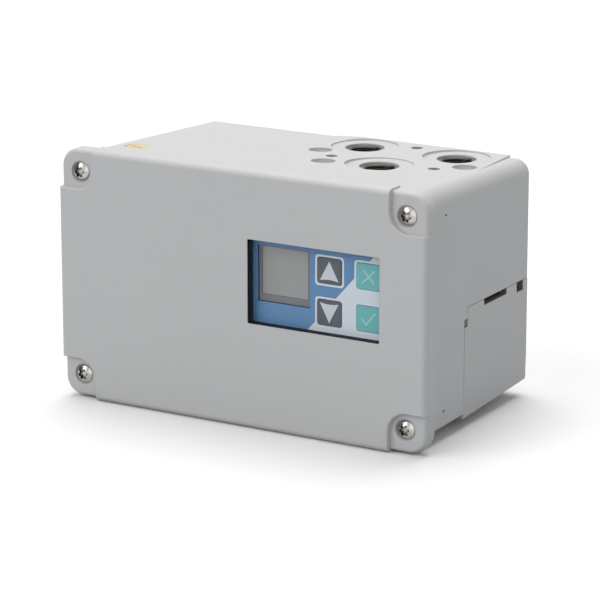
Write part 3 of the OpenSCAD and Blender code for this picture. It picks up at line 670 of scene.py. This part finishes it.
def clean_mesh(mesh: bpy.types.Mesh, sharp: float, recalculate: bool) -> None:
    """Merges doubles, marks sharp edges and shades the rest smooth.

    Args:
        mesh: Mesh to clean.
        sharp: Angle in degrees past which an edge stays sharp.
        recalculate: Whether the faces are turned outwards.
    """
    work = bmesh.new()
    work.from_mesh(mesh)
    bmesh.ops.remove_doubles(work, verts=work.verts, dist=1e-6)
    bmesh.ops.dissolve_degenerate(work, edges=work.edges, dist=1e-7)
    if recalculate:
        bmesh.ops.recalc_face_normals(work, faces=work.faces)
    work.to_mesh(mesh)
    work.free()
    mesh.shade_smooth()
    mesh.set_sharp_from_angle(angle=math.radians(sharp))
    mesh.update()


def link(name: str, mesh: bpy.types.Mesh, slot: Slot, body: str) -> bpy.types.Object:
    """Puts a finished mesh into the scene.

    Args:
        name: Name of the piece.
        mesh: Its mesh, in the row frame.
        slot: Material slot that it takes its finish from.
        body: Body that it rides on.

    Returns:
        The new object.
    """
    piece = bpy.data.objects.new(name, mesh)
    bpy.context.scene.collection.objects.link(piece)
    if not mesh.materials:
        mesh.materials.append(PAINTS[slot])
    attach(piece, body)
    LOG.info("%s: %d faces", name, len(mesh.polygons))
    return piece


def paint_node(node: str, slot: Slot) -> None:
    """Gives a carried-over CAD node the finish of its slot.

    Args:
        node: Name of the node.
        slot: Material slot.
    """
    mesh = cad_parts[node].data
    mesh.materials.clear()
    mesh.materials.append(PAINTS[slot])
    LOG.info("%s: painted %s", node, slot.value)


def smooth_copy(name: str, node: str, slot: Slot, body: str, sharp: float) -> bpy.types.Object:
    """Makes a smooth-shaded piece from a copy of a CAD node.

    Args:
        name: Name of the piece.
        node: CAD node that it stands for.
        slot: Material slot.
        body: Body that it rides on.
        sharp: Angle in degrees past which an edge stays sharp.

    Returns:
        The piece.
    """
    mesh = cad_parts[node].data.copy()
    mesh.name = name
    mesh.materials.clear()
    if mesh.attributes.get("custom_normal"):
        mesh.attributes.remove(mesh.attributes["custom_normal"])
    clean_mesh(mesh, sharp, False)
    piece = link(name, mesh, slot, body)
    even = piece.modifiers.new("even_normals", "WEIGHTED_NORMAL")
    even.mode = "FACE_AREA"
    even.weight = 100
    even.keep_sharp = True
    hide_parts(node)
    return piece


def run_rule(name: str, tree: bpy.types.NodeTree, places: Sequence[Point],
             values: dict[str, object]) -> bpy.types.Mesh:
    """Evaluates a geometry tree over a set of points and keeps the plain mesh.

    Args:
        name: Name of the mesh.
        tree: Geometry node group.
        places: Points of the host mesh, in metres.
        values: Values of the tree's inputs by name.

    Returns:
        The evaluated mesh.
    """
    host_mesh = bpy.data.meshes.new(name + "_places")
    host_mesh.from_pydata(list(places), [], [])
    host = bpy.data.objects.new(name + "_host", host_mesh)
    bpy.context.scene.collection.objects.link(host)
    rule = host.modifiers.new("rule", "NODES")
    rule.node_group = tree
    for item in tree.interface.items_tree:
        if item.item_type == "SOCKET" and item.in_out == "INPUT" and item.name in values:
            rule[item.identifier] = values[item.name]
    graph = bpy.context.evaluated_depsgraph_get()
    mesh = bpy.data.meshes.new_from_object(host.evaluated_get(graph))
    mesh.name = name
    host.modifiers.remove(rule)
    bpy.data.objects.remove(host)
    bpy.data.meshes.remove(host_mesh)
    return mesh


class TurnedRule:
    """A geometry tree that bends a grid round an axis by a formula and sets it on points."""

    def __init__(self, name: str, rows: int, columns: int) -> None:
        """Starts the tree.

        Args:
            name: Name of the tree.
            rows: Steps along the section.
            columns: Steps round the axis.
        """
        self.tree = Tree(name, "GeometryNodeTree")
        self.points = self.tree.input("Geometry", "Geometry")
        self.paint = self.tree.input("Material", "Material")
        self.seed = self.tree.input("Seed", "Int", 7)
        self.turn = self.tree.input("Turn", "Vector", (0.0, 0.0, 0.0))
        self.spin = self.tree.input("Spin", "Vector", (0.0, 0.0, 0.0))
        self.grid = self.tree.node("GeometryNodeMeshGrid", {
            "Size X": float(rows), "Size Y": 2 * math.pi, "Vertices X": rows + 1, "Vertices Y": columns + 1})
        spot = self.tree.node("GeometryNodeInputPosition").outputs[0]
        place = self.tree.node("ShaderNodeSeparateXYZ", {0: spot})
        self.step = self.tree.field(place.outputs["X"]) + rows / 2
        self.angle = self.tree.field(place.outputs["Y"])

    def part(self, first: int, last: int) -> Field:
        """How far the section has come between two steps, from 0 to 1."""
        return ((self.step - float(first)) / float(last - first)).clamp()

    def close(self, radius: Field, along: Field, recess: Field) -> bpy.types.NodeTree:
        """Wraps the grid, sets it on the points and ends the tree.

        Args:
            radius: Distance from the axis.
            along: Place along the axis, which is z before the turn.
            recess: Painted shade by how far a place lies inside a hole, from 0 to 1.

        Returns:
            The finished group.
        """
        tree = self.tree
        # Stores the painted shade share on the points, so that the material darkens them.
        marked = tree.node("GeometryNodeStoreNamedAttribute", {
            "Geometry": self.grid.outputs["Mesh"], "Name": PAINTED_SHADE_NAME}, data_type="FLOAT", domain="POINT")
        tree.group.links.new(recess.socket, marked.inputs["Value"])
        x = radius * self.angle.math("COSINE")
        y = radius * self.angle.math("SINE")
        spot = tree.node("ShaderNodeCombineXYZ", {"X": x, "Y": y, "Z": along})
        moved = tree.node("GeometryNodeSetPosition", {
            "Geometry": marked.outputs[0], "Position": spot.outputs[0]})
        joined = tree.node("GeometryNodeMergeByDistance", {"Geometry": moved.outputs[0], "Distance": 2e-6})
        chance = tree.node("FunctionNodeRandomValue", data_type="FLOAT_VECTOR")
        tree.group.links.new(self.spin.socket, chance.inputs[1])
        tree.group.links.new(self.seed.socket, chance.inputs["Seed"])
        own = tree.node("FunctionNodeEulerToRotation", {0: chance.outputs[0]})
        set_way = tree.node("FunctionNodeEulerToRotation", {0: self.turn})
        both = tree.node("FunctionNodeRotateRotation", {
            0: set_way.outputs[0], 1: own.outputs[0]}, rotation_space="LOCAL")
        copies = tree.node("GeometryNodeInstanceOnPoints", {
            "Points": self.points, "Instance": joined.outputs[0], "Rotation": both.outputs[0]})
        real = tree.node("GeometryNodeRealizeInstances", {"Geometry": copies.outputs[0]})
        dressed = tree.node("GeometryNodeSetMaterial", {"Geometry": real.outputs[0], "Material": self.paint})
        tree.output("Geometry", "Geometry", dressed.outputs[0])
        return tree.group


def lobe_screw_rule() -> bpy.types.NodeTree:
    """Domed screw with a lobed socket, from one turned section with a named step at each corner.

    Returns:
        The finished group.
    """
    lobes = 6.0
    floor_end, wall_end, dome_end, rim_end, seat_end, shank_end, tip_end = 6, 12, 27, 30, 33, 39, 42
    rule = TurnedRule("lobe_screw", tip_end, 72)
    head = rule.tree.input("Head Radius", "Float", 3.8 * MM)
    height = rule.tree.input("Head Height", "Float", 2.2 * MM)
    socket = rule.tree.input("Socket Radius", "Float", 1.95 * MM)
    lobe = rule.tree.input("Lobe", "Float", 0.18)
    depth = rule.tree.input("Socket Depth", "Float", 1.6 * MM)
    shank = rule.tree.input("Shank Radius", "Float", 2 * MM)
    length = rule.tree.input("Length", "Float", 20 * MM)
    rim = rule.tree.input("Rim", "Float", 0.3 * MM)
    painted_shade = rule.tree.input("Painted Shade", "Float", 0.85)
    edge = socket * ((rule.angle * lobes).math("COSINE") * lobe + 1.0)
    out = rule.part(wall_end, dome_end)
    share = (edge + (head - edge) * out) / head
    dome = share * share * (height - rim)
    radius = (edge * rule.part(0, floor_end) + (head - edge) * out
              + (shank - head) * rule.part(rim_end, seat_end) - shank * rule.part(shank_end, tip_end))
    wall = rule.part(floor_end, wall_end)
    along = (depth * (1.0 - wall) + dome * wall + rim * rule.part(dome_end, rim_end)
             + length * rule.part(seat_end, shank_end))
    # Painted shade in the socket: on the outer floor and the wall, fading out at the top of the wall, none at
    # the very middle.
    recess = (rule.part(1, 4) - rule.part(9, 13)) * painted_shade
    return rule.close(radius, 0.0 - along, recess)


def threaded_insert_rule() -> bpy.types.NodeTree:
    """Ring with a true helical thread and a chamfered mouth, from one turned section like the screw's.

    Returns:
        The finished group.
    """
    crest_share, flank, run_out = 0.15, 1.4, 2
    painted_shade_lift_thread, painted_shade_lift_mouth = 0.25, 0.75
    thread_end, mouth_end, face_end, outside_end, back_end = 138, 141, 144, 147, 150
    rule = TurnedRule("threaded_insert", back_end, 56)
    bore = rule.tree.input("Bore Radius", "Float", 5.9 * MM)
    outer = rule.tree.input("Outer Radius", "Float", 8.2 * MM)
    length = rule.tree.input("Length", "Float", 13 * MM)
    pitch = rule.tree.input("Pitch", "Float", 1.337 * MM)
    groove = rule.tree.input("Groove", "Float", 0.6 * MM)
    mouth = rule.tree.input("Mouth", "Float", 1 * MM)
    climb = rule.part(0, thread_end) * (length - mouth)
    phase = climb / pitch - rule.angle / (2 * math.pi)
    saw = (phase.math("FRACT") - 0.5).math("ABSOLUTE") * 2.0
    run = 1.0 - rule.part(thread_end - run_out, thread_end)
    cut = ((saw - crest_share) * flank).clamp() * groove * run
    open_part = rule.part(thread_end, mouth_end)
    radius = (bore + cut + mouth * open_part + (outer - bore - mouth) * rule.part(mouth_end, face_end)
              + (bore - outer) * rule.part(outside_end, back_end))
    along = climb + mouth * open_part - length * rule.part(face_end, outside_end)
    # Painted shade: full deep in the bore, a little less over the last turns and the mouth, gone on the face
    # and outside.
    recess = 1.0 - rule.part(120, thread_end) * painted_shade_lift_thread - rule.part(140, 143) * painted_shade_lift_mouth
    return rule.close(radius, along, recess)


def plate_mesh(name: str, points: Sequence[Flat], front: float, thick: float) -> bpy.types.Mesh:
    """Makes a thin flat piece from an outline in x and z.

    Args:
        name: Name of the mesh.
        points: Corner points in metres, in order.
        front: Place of the front face in y.
        thick: Thickness towards the back.

    Returns:
        A closed mesh with faces that point outwards.
    """
    work = bmesh.new()
    near = [work.verts.new((x, front, z)) for x, z in points]
    far = [work.verts.new((x, front + thick, z)) for x, z in points]
    work.faces.new(near)
    work.faces.new(list(reversed(far)))
    for i in range(len(points)):
        j = (i + 1) % len(points)
        work.faces.new((near[i], far[i], far[j], near[j]))
    bmesh.ops.recalc_face_normals(work, faces=work.faces)
    bmesh.ops.triangulate(work, faces=[f for f in work.faces if len(f.verts) > 4])
    mesh = bpy.data.meshes.new(name)
    work.to_mesh(mesh)
    work.free()
    return mesh


Region = Callable[[Vector], bool]


def in_well(x: float, y: float, radius: float, low: float) -> Region:
    """Test for a round upright hollow above a level, in millimetres."""
    return lambda c: c.z > low and math.hypot(c.x - x, c.y - y) < radius


def in_box(low: Point, high: Point) -> Region:
    """Test for a box between two corners, in millimetres."""
    return lambda c: all(a < v < b for a, v, b in zip(low, c, high))


def mark_faces(mesh: bpy.types.Mesh, region: Region, share: float) -> None:
    """Stores on the faces of a region how much painted shade they take.

    Args:
        mesh: Mesh to mark.
        region: Test of a face's middle, in millimetres.
        share: Painted shade from 0 to 1.
    """
    layer = mesh.attributes.get(PAINTED_SHADE_NAME) or mesh.attributes.new(PAINTED_SHADE_NAME, "FLOAT", "FACE")
    for face in mesh.polygons:
        if region(face.center / MM):
            layer.data[face.index].value = share


@dataclass
class Housing:
    """Base, front cover and exhaust cover in moulded grey; the places of small hollows are in millimetres."""

    sharp_base: float = 24.0
    sharp_cover: float = 30.0
    # Painted shade darkens the label dishes, holes, vent slots and two small dots by the shares below.
    dishes: tuple[Flat, ...] = ((-1.3, 10.4), (11.9, -9.9), (63.0, 11.1))
    dish_radius: float = 4.9
    dish_painted_shade: float = 0.53
    holes: tuple[Flat, ...] = ((9.0, 1.5), (28.9, 34.8), (54.8, 1.5))
    hole_radius: float = 2.5
    hole_painted_shade: float = 0.6
    well_low: float = 86.0
    slots: tuple[tuple[Point, Point], ...] = (
        ((64.0, 3.3, 45.7), (76.0, 23.1, 48.5)), ((64.0, 32.1, 44.1), (75.6, 37.9, 48.5)),
        ((64.0, -13.3, 40.5), (76.5, -10.5, 43.9)))
    slot_painted_shade: float = 0.95
    vent_painted_shade: float = 0.75
    dots: tuple[tuple[Point, Point], ...] = (
        ((75.5, -30.6, 11.2), (77.1, -29.4, 12.4)), ((75.5, -30.6, 88.0), (77.1, -29.4, 89.2)))
    dot_painted_shade: float = 1.0

    def build(self) -> None:
        """Makes the three grey mouldings and their seals."""
        base = smooth_copy("base_shell", "base_housing", Slot.HOUSING, HOUSING_BODY, self.sharp_base)
        smooth_copy("cover_shell", "front_cover", Slot.HOUSING, HOUSING_BODY, self.sharp_cover)
        vent = smooth_copy("exhaust_shell", "exhaust_cover", Slot.HOUSING, HOUSING_BODY, self.sharp_cover)
        self.dress(base.data, vent.data)

    def dress(self, base: bpy.types.Mesh, vent: bpy.types.Mesh) -> None:
        """Marks painted shade in the small hollows of the mouldings and paints what belongs to them.

        Args:
            base: Mesh of the base.
            vent: Mesh of the exhaust cover.
        """
        for x, y in self.dishes:
            mark_faces(base, in_well(x, y, self.dish_radius, self.well_low), self.dish_painted_shade)
        for x, y in self.holes:
            mark_faces(base, in_well(x, y, self.hole_radius, self.well_low), self.hole_painted_shade)
        for low, high in self.slots:
            mark_faces(base, in_box(low, high), self.slot_painted_shade)
            mark_faces(vent, in_box(low, high), self.vent_painted_shade)
        for low, high in self.dots:
            mark_faces(base, in_box(low, high), self.dot_painted_shade)
        paint_node("cover_gasket", Slot.SEAL)
        paint_node("silencer", Slot.SILENCER)
        paint_node("marker_plug", Slot.YELLOW)


@dataclass
class CoverScrews:
    """Four domed screws in the corners of the cover."""

    half_x: float = 73.3 * MM
    low_z: float = 9.7 * MM
    high_z: float = 92.3 * MM
    seat: float = FRONT + 2.7 * MM
    head_radius: float = 3.8 * MM
    head_height: float = 2.2 * MM
    length: float = 20 * MM
    sharp: float = 38.0

    def build(self) -> None:
        """Sets the screws by their rule."""
        front = self.seat - self.head_height
        places = [(s * self.half_x, front, z) for s in (-1, 1) for z in (self.low_z, self.high_z)]
        mesh = run_rule("cover_screw_set", lobe_screw_rule(), places, {
            "Material": PAINTS[Slot.STAINLESS], "Seed": 11, "Turn": (math.pi / 2, 0.0, 0.0),
            "Spin": (0.0, 0.0, 2 * math.pi), "Head Radius": self.head_radius, "Head Height": self.head_height,
            "Length": self.length})
        clean_mesh(mesh, self.sharp, True)
        piece = link("cover_screw_set", mesh, Slot.STAINLESS, HOUSING_BODY)
        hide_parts("cover_screws")


@dataclass(frozen=True)
class Thread:
    """Sizes of one threaded ring."""

    bore: float
    outer: float
    length: float
    pitch: float
    groove: float
    mouth: float
    sharp: float = 40.0

    def build(self, name: str, rule: bpy.types.NodeTree, places: Sequence[Point], axis: Axis,
              slot: Slot) -> bpy.types.Object:
        """Makes a set of these rings that rides on the housing.

        Args:
            name: Name of the piece.
            rule: Tree of the threaded insert.
            places: Inner ends of the rings, in metres.
            axis: Direction of the mouths.
            slot: Material slot.

        Returns:
            The piece.
        """
        mesh = run_rule(name, rule, places, {
            "Material": PAINTS[slot], "Turn": axis.value, "Bore Radius": self.bore,
            "Outer Radius": self.outer, "Length": self.length, "Pitch": self.pitch,
            "Groove": self.groove, "Mouth": self.mouth})
        clean_mesh(mesh, self.sharp, True)
        return link(name, mesh, slot, HOUSING_BODY)


@dataclass
class Inserts:
    """Threaded metal inserts of the air ports and of the rear fastening."""

    ports: tuple[Point, ...] = (
        (9 * MM, 27.8 * MM, 82.072 * MM),
        (32.6 * MM, -2.2 * MM, 82.877 * MM),
        (50.6 * MM, 27.8 * MM, 82.072 * MM))
    port_thread: Thread = Thread(bore=5.9 * MM, outer=8.8 * MM, length=13.5 * MM, pitch=1.337 * MM,
                                 groove=0.6 * MM, mouth=0.6 * MM)
    rear_x: Flat = (-61 * MM, -11 * MM)
    rear_y: float = 33 * MM
    rear_z: Flat = (26 * MM, 76 * MM)
    rear_thread: Thread = Thread(bore=2.5 * MM, outer=4.2 * MM, length=10 * MM, pitch=1 * MM,
                                 groove=0.4 * MM, mouth=0.5 * MM)

    def build(self, rule: bpy.types.NodeTree) -> None:
        """Sets both kinds.

        Args:
            rule: Tree of the threaded insert.
        """
        ports = self.port_thread.build("port_insert_set", rule, self.ports, Axis.UP, Slot.BRASS)
        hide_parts("port_inserts")
        places = [(x, self.rear_y, z) for x in self.rear_x for z in self.rear_z]
        rear = self.rear_thread.build("rear_insert_set", rule, places, Axis.BACK, Slot.BRASS)
        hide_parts("mount_inserts")


@dataclass
class CableEntry:
    """Moulded thread in the open cable entry on the left side."""

    inner_end: Point = (-67.986 * MM, -9 * MM, 60 * MM)
    thread: Thread = Thread(bore=8.8 * MM, outer=9.24 * MM, length=9.7 * MM, pitch=1.5 * MM,
                            groove=0.4 * MM, mouth=0.3 * MM)

    def build(self, rule: bpy.types.NodeTree) -> None:
        """Sets the thread by the tree of the threaded insert."""
        self.thread.build("entry_thread", rule, [self.inner_end], Axis.LEFT, Slot.HOUSING)


@dataclass
class WindowUnit:
    """Pane, seal, printed film and display behind the cover."""

    key_x: Flat = (38.75 * MM, 55.85 * MM)
    key_z: Flat = (66.3 * MM, 49.9 * MM)
    outline_reach: Flat = (6.3 * MM, 6.0 * MM)

    def build(self) -> None:
        """Paints the layers of the window."""
        keys = tuple((x, z) for x in self.key_x for z in self.key_z)
        PAINTS.put(Slot.FILM, PrintedFilm(keys, self.outline_reach).build())
        for node, slot in (("window_pane", Slot.PANE), ("window_seal", Slot.SEAL), ("keypad_film", Slot.FILM),
                           ("keypad_panel", Slot.PANEL), ("display_module", Slot.BEZEL),
                           ("display_glass", Slot.DISPLAY), ("key_domes", Slot.STAINLESS)):
            paint_node(node, slot)


class Symbol(Enum):
    """Signs printed on the keys."""

    UP = "up"
    DOWN = "down"
    BACK = "back"
    ENTER = "enter"


@dataclass
class Keys:
    """Four key caps, each with a raised print."""

    window: WindowUnit
    cap_front: float = FRONT + 4.2 * MM
    print_thick: float = 0.06 * MM
    arrow_half: float = 4.1 * MM
    arrow_high: float = 7.8 * MM
    hollow: float = 0.55 * MM
    hollow_steps: int = 8
    bar: float = 0.55 * MM
    cross_reach: float = 2.6 * MM
    tick: tuple[Flat, ...] = ((-3.0 * MM, 0.1 * MM), (-1.0 * MM, -2.3 * MM), (3.1 * MM, 2.7 * MM))
    marks: dict[Symbol, tuple[str, int, int, Slot]] = field(default_factory=lambda: {
        Symbol.UP: ("key_up", 0, 0, Slot.DARK_KEY),
        Symbol.DOWN: ("key_down", 0, 1, Slot.DARK_KEY),
        Symbol.BACK: ("key_back", 1, 0, Slot.TEAL_KEY),
        Symbol.ENTER: ("key_enter", 1, 1, Slot.TEAL_KEY)})

    def build(self) -> None:
        """Paints the caps and prints their signs."""
        white = MouldedPlastic("key_print", srgb(222, 227, 233), roughness=0.45).build()
        mint = MouldedPlastic("key_print_soft", srgb(186, 228, 224), roughness=0.45).build()
        for symbol, (node, column, row, slot) in self.marks.items():
            paint_node(node, slot)
            across, up = self.window.key_x[column], self.window.key_z[row]
            placed = [(across + x, up + z) for x, z in self._outline(symbol)]
            mesh = plate_mesh(node + "_sign", placed, self.cap_front - self.print_thick, self.print_thick)
            mesh.materials.append(white if slot is Slot.DARK_KEY else mint)
            link(node + "_sign", mesh, slot, node + "_cap")

    def _outline(self, symbol: Symbol) -> list[Flat]:
        """Picks the outline of a sign.

        Args:
            symbol: Sign of the key.

        Returns:
            Outline in metres from the middle of the key.
        """
        if symbol is Symbol.BACK:
            return self._cross()
        if symbol is Symbol.ENTER:
            return self._tick()
        return self._arrow(1 if symbol is Symbol.UP else -1)

    def _arrow(self, way: int) -> list[Flat]:
        """Triangle with a slightly hollow base.

        Args:
            way: 1 for up and -1 for down.

        Returns:
            Outline in metres from the middle of the key.
        """
        base = -self.arrow_high / 2
        points = [(0.0, self.arrow_high / 2)]
        for k in range(self.hollow_steps + 1):
            t = k / self.hollow_steps * 2 - 1
            points.append((t * self.arrow_half, base + self.hollow * (1 - t * t)))
        return [(x, way * z) for x, z in points]

    def _cross(self) -> list[Flat]:
        """Two bars that cross, as one outline.

        Returns:
            Outline in metres from the middle of the key.
        """
        w, r = self.bar / math.sqrt(2), self.cross_reach
        quarter = [Vector((w, 0.0)), Vector((r + w / 2, r - w / 2)), Vector((r - w / 2, r + w / 2))]
        return [tuple(Matrix.Rotation(k * math.pi / 2, 2) @ p) for k in range(4) for p in quarter]

    def _tick(self) -> list[Flat]:
        """A short and a long bar that meet below, as one outline.

        Returns:
            Outline in metres from the middle of the key.
        """
        start, foot, end = (Vector(p) for p in self.tick)
        down, rise = (foot - start).normalized(), (end - foot).normalized()
        left = Vector((-down.y, down.x)) * self.bar / 2
        right = Vector((-rise.y, rise.x)) * self.bar / 2
        mitre = (left + right).normalized()
        mitre *= (self.bar / 2) / mitre.dot(right.normalized())
        line = (start + left, foot + mitre, end + right, end - right, foot - mitre, start - left)
        return [tuple(p) for p in line]


@dataclass
class Insides:
    """Board, valves, shaft train and cable side, which keep their solids."""

    finishes: dict[Slot, tuple[str, ...]] = field(default_factory=lambda: {
        Slot.BOARD: ("main_board",),
        Slot.STAINLESS: ("board_screws", "terminal_screws", "manifold_screws", "bracket_screws",
                         "earth_screw", "feedback_shaft", "retaining_ring", "potentiometer_bracket"),
        Slot.BRASS: ("board_standoffs", "shaft_bush"),
        Slot.TERMINAL: ("terminal_strip",),
        Slot.BLACK: ("electronics_cover", "pilot_valves", "cable_plug"),
        Slot.SEAL: ("manifold_gasket", "shaft_seal", "plug_seal"),
        Slot.MANIFOLD: ("manifold_block",),
        Slot.GEAR: ("shaft_gear", "potentiometer_pinion"),
        Slot.YELLOW: ("clutch_wheel",),
        Slot.SENSOR: ("potentiometer",),
    })

    def build(self) -> None:
        """Paints every node that keeps its solid."""
        for slot, nodes in self.finishes.items():
            for node in nodes:
                paint_node(node, slot)


@dataclass(frozen=True)
class Lamp:
    """A broad sun lamp: where its light comes from, its strength and the angle that softens its shadow."""

    name: str
    come_from: Point
    power: float
    spread: float

    def build(self) -> None:
        """Adds the lamp."""
        data = bpy.data.lights.new(self.name, "SUN")
        data.energy = self.power
        data.angle = math.radians(self.spread)
        lamp = bpy.data.objects.new(self.name, data)
        lamp.rotation_euler = Vector(self.come_from).to_track_quat("Z", "Y").to_euler()
        bpy.context.scene.collection.objects.link(lamp)


@dataclass
class Studio:
    """Pale floor, soft lamps and the camera of the photograph."""

    eye: Point = (623.06 * MM, -1045.11 * MM, 362.97 * MM)
    aim: Point = (20.89 * MM, -42.53 * MM, 50.76 * MM)
    lens: float = 189.258
    sensor: float = 36.0
    clip: Flat = (0.01, 50.0)
    ambient: float = 0.30
    lamps: tuple[Lamp, ...] = (
        Lamp("top_light", (-0.14, 0.31, 0.94), 1.97, 50.0),
        Lamp("fill_light", (-0.50, -0.72, 0.48), 1.31, 60.0),
        Lamp("side_light", (0.80, -0.45, 0.40), 0.45, 60.0))
    floor_half: float = 4.0
    floor_drop: float = 0.2 * MM
    floor_seen: float = 0.99
    floor_bounce: Colour = (0.375, 0.397, 0.417, 1.0)
    card_x: float = -0.7
    card_y: Flat = (-0.9, 0.5)
    card_high: float = 0.7
    card_grey: float = 0.16

    def build(self) -> None:
        """Sets up the stage."""
        bpy.context.scene.view_settings.view_transform = "Standard"
        self._world()
        for lamp in self.lamps:
            lamp.build()
        self._floor()
        self._card()
        self._camera()

    def _seen(self, tree: bpy.types.NodeTree) -> Field:
        """Tells the rays that see the white surroundings from those that light the object.

        Args:
            tree: Node tree of the floor or the world.

        Returns:
            1 for rays from the camera, from metal and through glass, else 0.
        """
        ray = tree.nodes.new("ShaderNodeLightPath")
        seen = Field(tree, ray.outputs["Is Camera Ray"])
        for name in ("Is Glossy Ray", "Is Transmission Ray"):
            seen = seen.math("MAXIMUM", Field(tree, ray.outputs[name]))
        return seen

    def _world(self) -> None:
        """White to the camera, metal and glass; plain soft light to everything else."""
        world = bpy.data.worlds.new("studio")
        bpy.context.scene.world = world
        world.use_nodes = True
        nodes, links = world.node_tree.nodes, world.node_tree.links
        nodes.clear()
        seen = self._seen(world.node_tree)
        back = nodes.new("ShaderNodeBackground")
        back.inputs["Color"].default_value = (1.0, 1.0, 1.0, 1.0)
        links.new((seen * (1.0 - self.ambient) + self.ambient).socket, back.inputs["Strength"])
        out = nodes.new("ShaderNodeOutputWorld")
        links.new(back.outputs[0], out.inputs[0])

    def _sheet(self, name: str, corners: Sequence[Point], shader: Shader) -> bpy.types.Object:
        """Adds a flat sheet to the scene.

        Args:
            name: Name of the sheet.
            corners: Its corners in order.
            shader: Its material.

        Returns:
            The sheet.
        """
        mesh = bpy.data.meshes.new(name)
        mesh.from_pydata(list(corners), [], [tuple(range(len(corners)))])
        mesh.materials.append(shader.material)
        sheet = bpy.data.objects.new(name, mesh)
        bpy.context.scene.collection.objects.link(sheet)
        return sheet

    def _floor(self) -> None:
        """Adds the pale floor, which keeps the shadow."""
        shader = Shader("floor_white")
        seen = self._seen(shader.material.node_tree).socket
        white = (self.floor_seen, self.floor_seen, self.floor_seen, 1.0)
        shader.set("Base Color", shader.blend(seen, self.floor_bounce, white))
        shader.set("Roughness", 0.9)
        shader.set("Specular IOR Level", 0.0)
        h, z = self.floor_half, -self.floor_drop
        floor = self._sheet("floor", [(-h, -h, z), (h, -h, z), (h, h, z), (-h, h, z)], shader)

    def _card(self) -> None:
        """Adds a dark card at the left that only polished metal shows."""
        shader = Shader("card_black")
        shader.set("Base Color", (self.card_grey, self.card_grey, self.card_grey, 1.0))
        shader.set("Roughness", 1.0)
        x, (near, far), high = self.card_x, self.card_y, self.card_high
        corners = [(x, near, 0.0), (x, far, 0.0), (x, far, high), (x, near, high)]
        card = self._sheet("dark_card", corners, shader)
        for ray in ("camera", "diffuse", "transmission", "volume_scatter", "shadow"):
            setattr(card, "visible_" + ray, False)

    def _camera(self) -> None:
        """Adds the camera at the place fitted to the photograph."""
        data = bpy.data.cameras.new("photo_camera")
        data.sensor_fit = "HORIZONTAL"
        data.sensor_width = self.sensor
        data.lens = self.lens
        data.clip_start, data.clip_end = self.clip
        camera = bpy.data.objects.new("photo_camera", data)
        camera.location = self.eye
        look = Vector(self.aim) - Vector(self.eye)
        camera.rotation_euler = look.to_track_quat("-Z", "Y").to_euler()
        bpy.context.scene.collection.objects.link(camera)
        bpy.context.scene.camera = camera


def main() -> None:
    """Builds the sub-assemblies in order."""
    logging.basicConfig(level=logging.INFO, format="%(name)s %(message)s")
    Studio().build()
    Housing().build()
    CoverScrews().build()
    thread = threaded_insert_rule()
    Inserts().build(thread)
    CableEntry().build(thread)
    window = WindowUnit()
    window.build()
    Keys(window).build()
    Insides().build()


if __name__ == "__main__":
    main()
